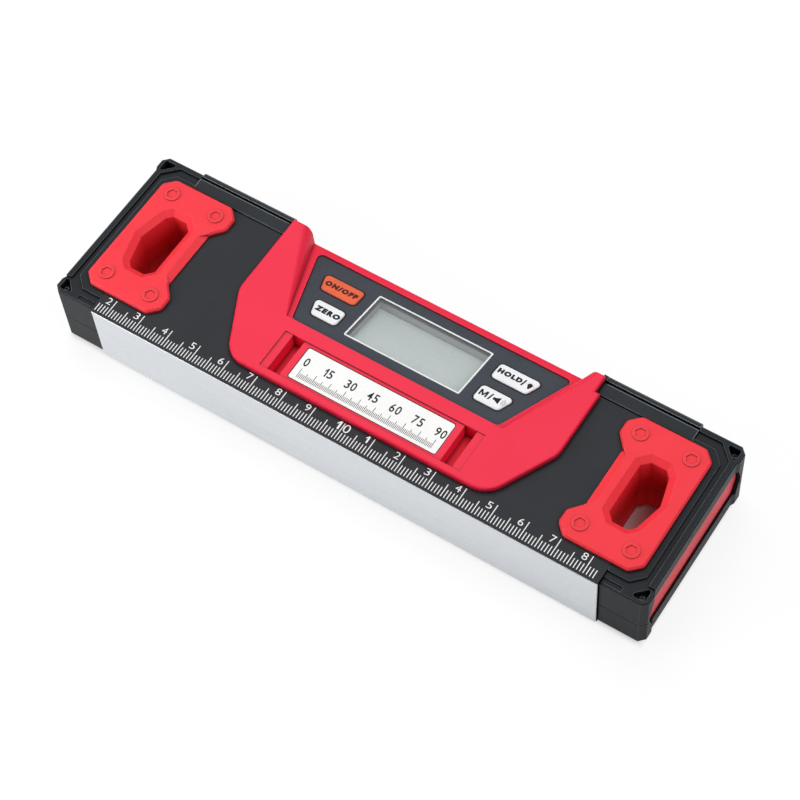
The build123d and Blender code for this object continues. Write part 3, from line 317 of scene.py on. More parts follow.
# black oxide on steel: nearly as dark as the plastic, with a thin oily gleam and a painted highlight on its
# rims
materials["blackOxideSteel"] = metalLook("blackOxideSteel", {
    "dark": "#26272A", "light": "#3A3B3F", "lines": (1.5, 1.5, 0.2), "grain": 0.25, "edge": 0.12,
    "rim": "#6E7076", "smooth": 0.3, "rough": 0.45, "relief": 0.2})
print("plain materials made:", len(materials))

# The deck is tilted: its outward normal is the way the keys come back up.
press = next(joint for joint in frame["joints"] if joint["name"] == "on_off_press")
deckUp = -Vector(press["axis"]).normalized()
deckAlong = Vector((1, 0, 0))
deckBack = deckUp.cross(deckAlong)


def topAlong(node):  # how far a node reaches out of the deck
    return max(vertex.co.dot(deckUp) for vertex in frame["nodes"][node].data.vertices)


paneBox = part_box("display_window")
paneMiddle = (paneBox[0] + paneBox[1]) / 2


def deckFrame(height):  # x along the tool, y to the back of the deck, z out of it
    origin = paneMiddle + deckUp * (height - paneMiddle.dot(deckUp))
    turned = Matrix((deckAlong, deckBack, deckUp)).transposed().to_4x4()
    return Matrix.Translation(origin) @ turned


# Display without power: grey-green, darker to the back where the shaft shades it, glossy front polariser
def displayLook(name, look):
    material, tree, shader = startMaterial(name)
    spot = addNode(tree, "ShaderNodeTexCoord").outputs["Object"]
    back = addNode(tree, "ShaderNodeVectorMath", {0: spot, 1: deckBack}, operation="DOT_PRODUCT")
    shadeFrom, shadeTo = [paneMiddle.dot(deckBack) + far * mm for far in look["shade"]]
    fall = addNode(
        tree, "ShaderNodeMapRange",
        {"Value": back.outputs["Value"], "From Min": shadeFrom, "From Max": shadeTo})
    haze = addNode(
        tree, "ShaderNodeTexNoise", {"Vector": spot, "Scale": 1 / (look["haze"] * mm), "Detail": 3.0})
    shade = addNode(
        tree, "ShaderNodeMix", {"Factor": look["uneven"], 2: fall.outputs[0], 3: haze.outputs["Fac"]})
    colour = addNode(
        tree, "ShaderNodeMix",
        {0: shade.outputs[0], 6: linear(look["front"]), 7: linear(look["back"])}, data_type="RGBA")
    frost = addNode(
        tree, "ShaderNodeTexNoise", {"Vector": spot, "Scale": 1 / (look["frost"] * mm), "Detail": 1.0})
    gloss = addNode(
        tree, "ShaderNodeMapRange",
        {"Value": frost.outputs["Fac"], **grainSpan, "To Min": look["smooth"], "To Max": look["rough"]})
    relief = addNode(
        tree, "ShaderNodeBump",
        {"Strength": look["relief"], "Distance": fineDepth, "Height": frost.outputs["Fac"]})
    wire(tree, shader, {
        "Base Color": colour.outputs[2], "Roughness": gloss.outputs[0], "Normal": relief.outputs["Normal"],
        "Specular IOR Level": look["shine"]})
    return material


materials["displayGlass"] = displayLook("displayGlass", {
    "front": "#CBD6D3", "back": "#B2BBBB", "shade": (-3, 11), "haze": 7, "uneven": 0.25, "frost": 0.6,
    "smooth": 0.25, "rough": 0.35, "relief": 0.1, "shine": 0.4})


# Clear acrylic: nearly invisible face on, with a trace of wiped haze in the reflections
def paneLook(name, look):
    material, tree, shader = startMaterial(name)
    spot = addNode(tree, "ShaderNodeTexCoord").outputs["Object"]
    wiped = addNode(
        tree, "ShaderNodeVectorMath",
        {0: spot, 1: [1 / (size * mm) for size in look["wipes"]]}, operation="MULTIPLY")
    haze = addNode(tree, "ShaderNodeTexNoise", {"Vector": wiped.outputs[0], "Scale": 1.0, "Detail": 4.0})
    gloss = addNode(
        tree, "ShaderNodeMapRange",
        {"Value": haze.outputs["Fac"], **toneSpan, "To Min": look["smooth"], "To Max": look["rough"]})
    tint = addNode(
        tree, "ShaderNodeMix",
        {0: haze.outputs["Fac"], 6: linear(look["dark"]), 7: linear(look["light"])}, data_type="RGBA")
    relief = addNode(
        tree, "ShaderNodeBump",
        {"Strength": look["relief"], "Distance": fineDepth, "Height": haze.outputs["Fac"]})
    wire(tree, shader, {
        "Base Color": tint.outputs[2], "Roughness": gloss.outputs[0], "Normal": relief.outputs["Normal"],
        "Alpha": look["cover"]})
    return material


materials["clearAcrylic"] = paneLook("clearAcrylic", {
    "dark": "#D9E0E0", "light": "#EEF2F2", "wipes": (9, 2, 2), "smooth": 0.04, "rough": 0.1,
    "relief": 0.05, "cover": 0.1})


# Fibreglass board: green solder mask, lighter over the copper tracks under it
def boardLook(name, look):
    material, tree, shader = startMaterial(name)
    spot = addNode(tree, "ShaderNodeTexCoord").outputs["Object"]
    tracks = addNode(
        tree, "ShaderNodeTexBrick",
        {"Vector": spot, "Color1": linear(look["mask"]), "Color2": linear(look["deep"]),
         "Mortar": linear(look["track"]), "Scale": 1 / (look["pitch"] * mm), "Mortar Size": 0.06,
         "Brick Width": 1.6, "Row Height": 0.45}, offset=0.35, squash=0.6)
    weave = addNode(
        tree, "ShaderNodeTexNoise", {"Vector": spot, "Scale": 1 / (look["weave"] * mm), "Detail": 2.0})
    gloss = addNode(
        tree, "ShaderNodeMapRange",
        {"Value": weave.outputs["Fac"], **grainSpan, "To Min": look["smooth"], "To Max": look["rough"]})
    relief = addNode(
        tree, "ShaderNodeBump",
        {"Strength": look["relief"], "Distance": fineDepth, "Height": tracks.outputs["Fac"]})
    wire(tree, shader, {
        "Base Color": tracks.outputs["Color"], "Roughness": gloss.outputs[0],
        "Normal": relief.outputs["Normal"]})
    return material


materials["greenSolderMask"] = boardLook("greenSolderMask", {
    "mask": "#1C6B3C", "deep": "#18603A", "track": "#3B8A56", "pitch": 4, "weave": 0.5, "smooth": 0.25,
    "rough": 0.4, "relief": 0.2})


# Cell jacket: dark film with a copper-coloured band at the plus end
def cellLook(name, look):
    material, tree, shader = startMaterial(name)
    spot = addNode(tree, "ShaderNodeTexCoord").outputs["Object"]
    along = addNode(tree, "ShaderNodeSeparateXYZ", {0: spot}).outputs["X"]
    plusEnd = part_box("battery_cells")[1].x
    band = addNode(
        tree, "ShaderNodeMath", {0: along, 1: plusEnd - look["band"] * mm}, operation="GREATER_THAN")
    film = addNode(
        tree, "ShaderNodeTexNoise", {"Vector": spot, "Scale": 1 / (look["film"] * mm), "Detail": 3.0})
    drift = addNode(
        tree, "ShaderNodeMix",
        {0: film.outputs["Fac"], 6: linear(look["dark"]), 7: linear(look["light"])}, data_type="RGBA")
    colour = addNode(
        tree, "ShaderNodeMix",
        {0: band.outputs[0], 6: drift.outputs[2], 7: linear(look["copper"])}, data_type="RGBA")
    gloss = addNode(
        tree, "ShaderNodeMapRange",
        {"Value": film.outputs["Fac"], **grainSpan, "To Min": look["smooth"], "To Max": look["rough"]})
    relief = addNode(
        tree, "ShaderNodeBump",
        {"Strength": look["relief"], "Distance": fineDepth, "Height": film.outputs["Fac"]})
    wire(tree, shader, {
        "Base Color": colour.outputs[2], "Metallic": look["metal"], "Roughness": gloss.outputs[0],
        "Normal": relief.outputs["Normal"]})
    return material


materials["printedCellFilm"] = cellLook("printedCellFilm", {
    "dark": "#2B2D31", "light": "#3A3D42", "copper": "#B07A4E", "band": 9, "film": 3, "metal": 0.5,
    "smooth": 0.28, "rough": 0.4, "relief": 0.1})

wearing = {
    "blackAbsFineGrain": ["front_shell", "rear_shell", "battery_cover"],
    "blackAbsSatin": ["left_cap_front", "left_cap_rear", "right_cap_front", "right_cap_rear"],
    "blackAbsRubbed": ["left_rail", "right_rail"],
    "redRubberMatte": [
        "left_grip_front", "left_grip_rear", "right_grip_front", "right_grip_rear"],
    "redRubberSatin": ["left_end_strip", "right_end_strip"],
    "anodisedAluminium": ["measuring_base"],
    "redAbsFineGrain": ["console"],
    "greyOverlaySatin": ["display_bezel"],
    "clearAcrylic": ["display_window"],
    "paleAbsMatte": ["lcd_frame"],
    "displayGlass": ["lcd_panel"],
    "milkyAcrylic": ["backlight"],
    "greenSolderMask": ["main_board"],
    "blackEpoxy": ["key_switches", "tilt_sensor", "buzzer"],
    "orangeSilicone": ["on_off_key"],
    "whiteSilicone": ["zero_key", "hold_key", "mode_key"],
    "whiteSatinPlate": ["label_plate"],
    "printedCellFilm": ["battery_cells"],
    "zincSteel": ["battery_contacts", "board_screws"],
    "blackOxideSteel": ["cap_screws", "housing_screws"],
}
for name, nodes in wearing.items():
    for node in nodes:
        mesh = frame["nodes"][node].data
        mesh.materials.clear()
        mesh.materials.append(materials[name])
print("materials on", sum(len(nodes) for nodes in wearing.values()), "nodes")


def addPiece(name, mesh, body, material):
    mesh.materials.clear()
    mesh.materials.append(materials[material])
    piece = bpy.data.objects.new(name, mesh)
    scene.collection.objects.link(piece)
    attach(piece, body)
    return piece


def geometryTree(name, sockets):
    tree = bpy.data.node_groups.new(name, "GeometryNodeTree")
    for label, kind in sockets.items():
        tree.interface.new_socket(name=label, in_out="INPUT", socket_type="NodeSocket" + kind)
    tree.interface.new_socket(name="Geometry", in_out="OUTPUT", socket_type="NodeSocketGeometry")
    given = addNode(tree, "NodeGroupInput").outputs
    return tree, given, addNode(tree, "NodeGroupOutput")


def endTree(tree, given, ending, instances):  # real geometry in its own material leaves the tree
    real = addNode(tree, "GeometryNodeRealizeInstances", {"Geometry": instances})
    done = addNode(
        tree, "GeometryNodeSetMaterial", {"Geometry": real.outputs[0], "Material": given["Material"]})
    wire(tree, ending, {"Geometry": done.outputs[0]})


# Runs a tree on a bare set of points and keeps the result as a plain mesh
def growMesh(tree, values, points=((0, 0, 0),)):
    start = bpy.data.meshes.new(tree.name)
    start.from_pydata(points, [], [])
    holder = bpy.data.objects.new(tree.name, start)
    scene.collection.objects.link(holder)
    modifier = holder.modifiers.new(tree.name, "NODES")
    modifier.node_group = tree
    for item in tree.interface.items_tree:
        if item.in_out == "INPUT" and item.name in values:
            modifier[item.identifier] = values[item.name]
    grown = holder.evaluated_get(bpy.context.evaluated_depsgraph_get())
    mesh = bpy.data.meshes.new_from_object(grown)
    bpy.data.objects.remove(holder)
    bpy.data.meshes.remove(start)
    return mesh


# A slab from one loop, or a ring from an outer and an inner one, with its back on z = 0
def makeSlab(loops, ink):
    build = bmesh.new()
    levels = [(loops[0], 0), (loops[0], ink)]
    if len(loops) == 2:
        levels += [(loops[1], ink), (loops[1], 0)]
    rows = [[build.verts.new((x * mm, y * mm, z * mm)) for x, y in loop] for loop, z in levels]
    pairs = list(zip(rows, rows[1:]))
    if len(loops) == 2:
        pairs.append((rows[-1], rows[0]))
    else:
        build.faces.new(rows[1])
        build.faces.new(reversed(rows[0]))
    for low, high in pairs:
        for i in range(len(low)):
            j = (i + 1) % len(low)
            build.faces.new((low[i], low[j], high[j], high[i]))
    mesh = bpy.data.meshes.new("slab")
    build.to_mesh(mesh)
    build.free()
    return mesh


# The built-in font has a bare bar for 1 and a weak M, so these two are drawn, in a square of side 1
drawnSigns = {
    "1": [(0.5, 0), (1, 0), (1, 1), (0.55, 1), (0, 0.72), (0, 0.52), (0.5, 0.74)],
    "M": [
        (0, 0), (0.2, 0), (0.2, 0.6), (0.43, 0.08), (0.57, 0.08), (0.8, 0.6), (0.8, 0), (1, 0), (1, 1),
        (0.76, 1), (0.5, 0.4), (0.24, 1), (0, 1)],
}


# Text of a given width and height, its middle on the origin and its back on z = 0
def makeText(text, width, height, bold, ink, spacing=1.0):
    if text in drawnSigns:
        return makeSlab([[((x - 0.5) * width, (y - 0.5) * height) for x, y in drawnSigns[text]]], ink)
    curve = bpy.data.curves.new(text, "FONT")
    curve.body = text
    curve.offset = bold
    curve.space_character = spacing
    curve.extrude = 0.1  # any depth will do, the ink's is set below
    curve.resolution_u = 4
    holder = bpy.data.objects.new(text, curve)
    scene.collection.objects.link(holder)
    shaped = holder.evaluated_get(bpy.context.evaluated_depsgraph_get())
    mesh = bpy.data.meshes.new_from_object(shaped)
    bpy.data.objects.remove(holder)
    bpy.data.curves.remove(curve)
    spans = [[vertex.co[k] for vertex in mesh.vertices] for k in range(3)]
    low = Vector([min(span) for span in spans])
    high = Vector([max(span) for span in spans])
    middle = (low + high) / 2
    middle.z = low.z
    size = high - low
    scale = Matrix.Diagonal((width * mm / size.x, height * mm / size.y, ink * mm / size.z, 1))
    mesh.transform(scale @ Matrix.Translation(-middle))
    return mesh


def joinMeshes(name, parts):  # parts are meshes with their places
    build = bmesh.new()
    for mesh, place in parts:
        mesh.transform(place)
        build.from_mesh(mesh)
        bpy.data.meshes.remove(mesh)
    joined = bpy.data.meshes.new(name)
    build.to_mesh(joined)
    build.free()
    return joined


# A printed scale: thin bars on a line of points, longer at every fifth and tenth
scaleTree, given, ending = geometryTree("printedScale", {
    "Geometry": "Geometry", "Count": "Int", "First": "Int", "Every": "Int", "Pitch": "Float",
    "Start": "Vector", "Short": "Float", "Half": "Float", "Long": "Float", "Line": "Float", "Ink": "Float",
    "Material": "Material"})
step = addNode(scaleTree, "ShaderNodeCombineXYZ", {"X": given["Pitch"]})
row = addNode(
    scaleTree, "GeometryNodeMeshLine",
    {"Count": given["Count"], "Start Location": given["Start"], "Offset": step.outputs[0]})
number = addNode(
    scaleTree, "ShaderNodeMath",
    {0: addNode(scaleTree, "GeometryNodeInputIndex").outputs[0], 1: given["First"]}, operation="ADD")
everyTwo = addNode(scaleTree, "ShaderNodeMath", {0: given["Every"], 1: 2.0}, operation="MULTIPLY")
overHalf = addNode(
    scaleTree, "ShaderNodeMath", {0: number.outputs[0], 1: given["Every"]}, operation="MODULO")
overLong = addNode(
    scaleTree, "ShaderNodeMath", {0: number.outputs[0], 1: everyTwo.outputs[0]}, operation="MODULO")
isHalf = addNode(scaleTree, "ShaderNodeMath", {0: overHalf.outputs[0], 1: 0.5}, operation="LESS_THAN")
isLong = addNode(scaleTree, "ShaderNodeMath", {0: overLong.outputs[0], 1: 0.5}, operation="LESS_THAN")
shorter = addNode(
    scaleTree, "GeometryNodeSwitch",
    {"Switch": isHalf.outputs[0], "False": given["Short"], "True": given["Half"]}, input_type="FLOAT")
length = addNode(
    scaleTree, "GeometryNodeSwitch",
    {"Switch": isLong.outputs[0], "False": shorter.outputs[0], "True": given["Long"]}, input_type="FLOAT")
barSize = addNode(
    scaleTree, "ShaderNodeCombineXYZ", {"X": given["Line"], "Y": length.outputs[0], "Z": given["Ink"]})
cube = addNode(scaleTree, "GeometryNodeMeshCube", {"Size": (1, 1, 1)})
bar = addNode(  # a cube that stands on its foot, then stretched
    scaleTree, "GeometryNodeTransform", {"Geometry": cube.outputs["Mesh"], "Translation": (0, 0.5, 0.5)})
bars = addNode(
    scaleTree, "GeometryNodeInstanceOnPoints",
    {"Points": row.outputs["Mesh"], "Instance": bar.outputs[0], "Scale": barSize.outputs[0]})
endTree(scaleTree, given, ending, bars.outputs[0])

# The front shell's lip over the base's long edge, and the right rail's end in the gap behind the console
trim = {"inset": 0.1, "clear": 0.02, "tuck": 1.4}
inset, clear, tuck = [trim[key] * mm for key in ("inset", "clear", "tuck")]
baseLow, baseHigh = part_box("measuring_base")
shellLow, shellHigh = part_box("front_shell")
railLow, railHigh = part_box("right_rail")
blocks = {
    "frontLip": (
        "blackAbsFineGrain",
        (baseLow.x, baseLow.y + inset, baseHigh.z + clear),
        (baseHigh.x, shellLow.y, shellHigh.z)),
    "railEnd": (
        "blackAbsRubbed",
        (railLow.x - tuck, shellHigh.y + clear, railLow.z + inset),
        (railLow.x - clear, railHigh.y - inset, railHigh.z - inset)),
}
for name, (material, low, high) in blocks.items():
    x0, y0, x1, y1 = [side / mm for side in (*low[:2], *high[:2])]
    block = makeSlab([[(x0, y0), (x1, y0), (x1, y1), (x0, y1)]], (high[2] - low[2]) / mm)
    solid = joinMeshes(name, [(block, Matrix.Translation((0, 0, low[2])))])
    addPiece(name, solid, "housing", material)
print("lip and rail end added")

# Millimetre scale on the housing's face, above the measuring edge
ruler = {
    "first": 16, "count": 168, "every": 5, "zero": -100, "foot": 0.84, "short": 2.7, "half": 4.2,
    "long": 5.78, "line": 0.28, "ink": 0.02, "numbers": (2, 18), "digit": (1.62, 2.25), "one": (1.05, 2.25),
    "row": 5.48, "gap": 1.93, "bold": -0.004}
ten = {"one": (1.2, 2.75), "nought": (2.0, 2.75), "apart": 1.35, "drop": 0.15}  # larger, astride its tick
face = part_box("front_shell")[1].z
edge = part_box("measuring_base")[0].y
ticks = growMesh(scaleTree, {
    "Count": ruler["count"], "First": ruler["first"], "Every": ruler["every"], "Pitch": mm,
    "Start": ((ruler["zero"] + ruler["first"]) * mm, edge + ruler["foot"] * mm, face),
    "Short": ruler["short"] * mm, "Half": ruler["half"] * mm, "Long": ruler["long"] * mm,
    "Line": ruler["line"] * mm, "Ink": ruler["ink"] * mm, "Material": materials["whiteInk"]})
addPiece("rulerTicks", ticks, "housing", "whiteInk")
digits = []
firstNumber, lastNumber = ruler["numbers"]
for centimetre in range(firstNumber, lastNumber + 1):
    x = ruler["zero"] + 10 * centimetre
    y = ruler["row"]
    if centimetre == 10:
        low = y - ten["drop"]
        spots = [("1", x - ten["apart"], low, ten["one"]), ("0", x + ten["apart"], low, ten["nought"])]
    else:
        figure = str(centimetre % 10)
        spots = [(figure, x - ruler["gap"], y, ruler["one"] if figure == "1" else ruler["digit"])]
    for figure, x, y, size in spots:
        mesh = makeText(figure, *size, ruler["bold"], ruler["ink"])
        digits.append((mesh, Matrix.Translation((x * mm, edge + y * mm, face))))
addPiece("rulerNumbers", joinMeshes("rulerNumbers", digits), "housing", "whiteInk")
print("ruler printed")

# Key legends, placed on the deck from the middle of the pane
legends = {"bold": 0.082, "ink": 0.02, "spacing": 1.32}
words = {
    "on_off": ("brownInk", [("ON/OFF", (-29.6, 4.45), (11.0, 2.0))]),
    "zero": ("darkInk", [("ZERO", (-27.7, -5.55), (8.3, 2.1))]),
    "hold": ("darkInk", [("HOLD", (27.8, 4.75), (7.8, 1.95)), ("/", (32.3, 4.65), (1.0, 2.6))]),
    "mode": ("darkInk", [("M", (25.15, -5.4), (2.5, 2.3)), ("/", (27.4, -5.4), (0.95, 2.6))]),
}
# A lamp with rays and a speaker with waves, drawn about their own middles
lampSign = {"glassX": 0.78, "glassY": 0.75, "rise": 0.4, "rayEnds": (1.0, 1.3), "rayHalf": 0.09}
soundSign = {"radii": (0.9, 1.6), "half": 0.17}
glass = [radians(d) for d in range(-20, 201, 20)]
bulb = [(lampSign["glassX"] * cos(a), lampSign["rise"] + lampSign["glassY"] * sin(a)) for a in glass]
bulb += [(-0.34, -0.75), (-0.22, -1.15), (0.22, -1.15), (0.34, -0.75)]
rays = []
for a in [radians(d) for d in range(0, 181, 45)]:
    across = Vector((-sin(a), cos(a))) * lampSign["rayHalf"]
    near, far = [Vector((r * cos(a), lampSign["rise"] + r * sin(a))) for r in lampSign["rayEnds"]]
    rays.append([near - across, far - across, far + across, near + across])
speaker = [(-1.05, -0.5), (-0.4, -0.5), (1.0, -1.3), (1.0, 1.3), (-0.4, 0.5), (-1.05, 0.5)]
waves = []
turn = [radians(d) for d in range(-50, 51, 10)]
for radius in soundSign["radii"]:
    outer = [((radius + soundSign["half"]) * cos(a), (radius + soundSign["half"]) * sin(a)) for a in turn]
    inner = [((radius - soundSign["half"]) * cos(a), (radius - soundSign["half"]) * sin(a)) for a in turn]
    waves.append(outer + inner[::-1])
signs = {
    "hold": (bulb, (34.35, 4.4), "lampRays", rays, (34.35, 4.4)),
    "mode": (speaker, (29.4, -5.45), "soundWaves", waves, (30.4, -5.4)),
}
for key, (ink, lines) in words.items():
    place = deckFrame(topAlong(key + "_key"))
    parts = []
    for text, (x, y), size in lines:
        mesh = makeText(text, *size, legends["bold"], legends["ink"], legends["spacing"])
        parts.append((mesh, place @ Matrix.Translation((x * mm, y * mm, 0))))
    if key in signs:
        sign, (x, y), paleName, loops, (paleX, paleY) = signs[key]
        parts.append((makeSlab([sign], legends["ink"]), place @ Matrix.Translation((x * mm, y * mm, 0))))
        palePlace = place @ Matrix.Translation((paleX * mm, paleY * mm, 0))
        pale = [(makeSlab([loop], legends["ink"]), palePlace) for loop in loops]
        addPiece(paleName, joinMeshes(paleName, pale), key + "_button", "greyInk")
    name = key + "_legend"
    addPiece(name, joinMeshes(name, parts), key + "_button", ink)
print("keys printed")


# Outline of a key on the deck, in mm from the middle of the pane, with its corners moved outwards
def keyOutline(key, place, outwards):
    onDeck = place.inverted()
    spots = [(onDeck @ vertex.co) / mm for vertex in frame["nodes"][key].data.vertices]
    flat = sorted({(round(spot.x, 3), round(spot.y, 3)) for spot in spots if spot.z > 0})
    hull = [Vector(flat[i]) for i in convex_hull_2d(flat)]
    loop = []
    for before, corner, after in zip(hull[-1:] + hull[:-1], hull, hull[1:] + hull[:1]):
        sides = [(corner - before).normalized(), (after - corner).normalized()]
        first, second = [Vector((side.y, -side.x)) for side in sides]
        loop.append(corner + (first + second) * outwards / (1 + first.dot(second)))
    return loop


# Painted shade: a dark ring on the bezel round each key, just clear of it, where the gap round the key is in
# shade
keyShade = {"clear": 0.06, "line": 0.42, "ink": 0.02}
place = deckFrame(topAlong("display_bezel"))
rings = []
for key in words:
    outlines = [keyOutline(key + "_key", place, keyShade["clear"] + wide) for wide in (keyShade["line"], 0)]
    rings.append((makeSlab(outlines, keyShade["ink"]), place))
addPiece("keyWells", joinMeshes("keyWells", rings), "housing", "darkInk")
print("key wells lined")

# White line round the display window
line = {
    "outer": (19.5, 9.62), "outerRound": 0.5, "inner": (18.98, 9.1), "innerRound": 0.2, "arcs": 4,
    "ink": 0.02}
loops = []
for side in ("outer", "inner"):
    halfX, halfY = line[side]
    radius = line[side + "Round"]
    loop = []
    for quarter, (signX, signY) in enumerate(((1, 1), (-1, 1), (-1, -1), (1, -1))):
        for part in range(line["arcs"] + 1):
            a = (quarter + part / line["arcs"]) * pi / 2
            x = signX * (halfX - radius) + radius * cos(a)
            y = signY * (halfY - radius) + radius * sin(a)
            loop.append((x, y))
    loops.append(loop)
border = joinMeshes("displayLine", [(makeSlab(loops, line["ink"]), deckFrame(topAlong("display_bezel")))])
addPiece("displayLine", border, "housing", "whiteInk")
print("display line printed")

# Bolt-like marks moulded on the front grips: a raised disc with a hexagon socket
weld = 0.001 * mm  # corners this close are one
markTree, given, ending = geometryTree("gripMarks", {
    "Geometry": "Geometry", "Radius": "Float", "Socket": "Float", "Height": "Float", "Material": "Material"})
rim = addNode(markTree, "GeometryNodeCurvePrimitiveCircle", {"Resolution": 48, "Radius": given["Radius"]})
socket = addNode(markTree, "GeometryNodeCurvePrimitiveCircle", {"Resolution": 6, "Radius": given["Socket"]})
both = addNode(markTree, "GeometryNodeJoinGeometry", {0: rim.outputs[0]})
markTree.links.new(socket.outputs[0], both.inputs[0])
filled = addNode(markTree, "GeometryNodeFillCurve", {0: both.outputs[0]})
raised = addNode(
    markTree, "GeometryNodeExtrudeMesh",
    {"Mesh": filled.outputs[0], "Offset": (0, 0, 1), "Offset Scale": given["Height"], "Individual": False})
under = addNode(markTree, "GeometryNodeFlipFaces", {0: filled.outputs[0]})
shell = addNode(markTree, "GeometryNodeJoinGeometry", {0: raised.outputs[0]})
markTree.links.new(under.outputs[0], shell.inputs[0])
closed = addNode(markTree, "GeometryNodeMergeByDistance", {0: shell.outputs[0], "Distance": weld})
spread = addNode(
    markTree, "GeometryNodeInstanceOnPoints", {"Points": given["Geometry"], "Instance": closed.outputs[0]})
endTree(markTree, given, ending, spread.outputs[0])
mark = {"radius": 2.35, "socket": 1.75, "height": 0.28, "columns": (72.2, 88.1), "row": 16.4}
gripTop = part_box("right_grip_front")[1].z
spots = [
    (side * x * mm, up * mark["row"] * mm, gripTop)
    for side in (-1, 1) for x in mark["columns"] for up in (-1, 1)]
marks = growMesh(markTree, {
    "Radius": mark["radius"] * mm, "Socket": mark["socket"] * mm, "Height": mark["height"] * mm,
    "Material": materials["redRubberMatte"]}, spots)
addPiece("gripMarks", marks, "housing", "redRubberMatte")
print("grip marks raised")


def islands(node):  # boxes of the separate solids in one node
    build = bmesh.new()
    build.from_mesh(frame["nodes"][node].data)
    bmesh.ops.remove_doubles(build, verts=build.verts, dist=weld)
    boxes = []
    left = set(build.verts)
    while left:
        group = [left.pop()]
        for vertex in group:
            for link in vertex.link_edges:
                other = link.other_vert(vertex)
                if other in left:
                    left.remove(other)
                    group.append(other)
        spans = [[vertex.co[k] for vertex in group] for k in range(3)]
        boxes.append((Vector([min(s) for s in spans]), Vector([max(s) for s in spans])))
    build.free()
    return sorted(boxes, key=lambda box: tuple(box[0]))


# Shares of a screw's head: of its height for shoulder and floor, of its radius for the others
drive = {"shoulder": 0.5, "floor": 0.4, "crown": 0.8, "arm": 0.58, "half": 0.14, "steps": 32}


# One screw: a turned outline with a cross recess in its head, the head's seat on z = 0
def makeScrew(name, screw):
    head, rim, shank, length = [screw[key] * mm for key in ("head", "rim", "shank", "length")]
    outline = [
        (shank, -length), (shank, 0), (rim, 0), (rim, drive["shoulder"] * head), (drive["crown"] * rim, head)]
    arm, half = drive["arm"] * rim, drive["half"] * rim
    quarter = [Vector((arm, -half, 0)), Vector((arm, half, 0)), Vector((half, half, 0))]
    cross = [Matrix.Rotation(k * pi / 2, 3, "Z") @ corner for k in range(4) for corner in quarter]
    turn = [i * 2 * pi / drive["steps"] for i in range(drive["steps"])]
    build = bmesh.new()
    rings = [[build.verts.new((r * cos(a), r * sin(a), z)) for a in turn] for r, z in outline]
    levels = (head, drive["floor"] * head)
    mouth, base = [[build.verts.new((corner.x, corner.y, z)) for corner in cross] for z in levels]
    for low, high in list(zip(rings, rings[1:])) + [(mouth, base)]:
        for i in range(len(low)):
            j = (i + 1) % len(low)
            build.faces.new((low[i], low[j], high[j], high[i]))
    build.faces.new(rings[0])
    build.faces.new(base)
    brim = [build.edges.get((loop[i - 1], loop[i])) for loop in (rings[-1], mouth) for i in range(len(loop))]
    bmesh.ops.triangle_fill(build, use_beauty=True, edges=brim)
    bmesh.ops.recalc_face_normals(build, faces=build.faces)
    mesh = bpy.data.meshes.new(name)
    build.to_mesh(mesh)
    build.free()
    return bpy.data.objects.new(name, mesh)


screwTree, given, ending = geometryTree("screws", {
    "Geometry": "Geometry", "Screw": "Object", "Turn": "Vector", "Material": "Material"})
pattern = addNode(screwTree, "GeometryNodeObjectInfo", {"Object": given["Screw"]})
placed = addNode(
    screwTree, "GeometryNodeInstanceOnPoints",
    {"Points": given["Geometry"], "Instance": pattern.outputs["Geometry"], "Rotation": given["Turn"]})
endTree(screwTree, given, ending, placed.outputs[0])
twist = 0.4  # radians, so that the recesses don't line up with the tool
screws = {
    "cap_screws": {"name": "capScrews", "head": 0.9, "shank": 0.5, "up": True},
    "housing_screws": {"name": "housingScrews", "head": 1.6, "shank": 1.2, "up": False},
}
for node, screw in screws.items():
    boxes = islands(node)
    low, high = boxes[0]
    screw["rim"] = (high.x - low.x) / 2 / mm
    screw["length"] = (high.z - low.z) / mm - screw["head"]
    headZ = high.z - screw["head"] * mm if screw["up"] else low.z + screw["head"] * mm
    spots = [((a.x + b.x) / 2, (a.y + b.y) / 2, headZ) for a, b in boxes]
    one = makeScrew(node + "_one", screw)
    flip = 0.0 if screw["up"] else pi
    mesh = growMesh(screwTree, {
        "Screw": one, "Turn": (flip, 0.0, twist), "Material": materials["blackOxideSteel"]}, spots)
    bpy.data.objects.remove(one)
    piece = addPiece(screw["name"], mesh, "housing", "blackOxideSteel")
    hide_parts(node)
print("screws turned")

# Plain degree scale on the label plate
label = {
    "pitch": 0.5, "count": 91, "every": 5, "foot": 1.0, "short": 1.6, "half": 2.4, "long": 3.2, "line": 0.16,
    "ink": 0.02, "numbered": 15, "digit": 1.5, "one": 0.85, "height": 2.9, "gap": 0.4, "row": 6.6,
    "bold": 0.014}
plateLow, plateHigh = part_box("label_plate")
plateX = (plateLow.x + plateHigh.x) / 2
startX = plateX - label["pitch"] * (label["count"] - 1) / 2 * mm
degreeTicks = growMesh(scaleTree, {
    "Count": label["count"], "First": 0, "Every": label["every"], "Pitch": label["pitch"] * mm,
    "Start": (startX, plateLow.y + label["foot"] * mm, plateHigh.z),
    "Short": label["short"] * mm, "Half": label["half"] * mm, "Long": label["long"] * mm,
    "Line": label["line"] * mm, "Ink": label["ink"] * mm, "Material": materials["darkInk"]})
addPiece("degreeTicks", degreeTicks, "housing", "darkInk")
parts = []
for degree in range(0, label["count"], label["numbered"]):
    figures = str(degree)
    widths = [label["one"] if figure == "1" else label["digit"] for figure in figures]
    x = startX + (degree * label["pitch"] - (sum(widths) + label["gap"] * (len(figures) - 1)) / 2) * mm
    for figure, width in zip(figures, widths):
        mesh = makeText(figure, width, label["height"], label["bold"], label["ink"])
        place = Matrix.Translation((x + width / 2 * mm, plateLow.y + label["row"] * mm, plateHigh.z))
        parts.append((mesh, place))
        x += (width + label["gap"]) * mm
addPiece("degreeNumbers", joinMeshes("degreeNumbers", parts), "housing", "darkInk")
print("label printed")

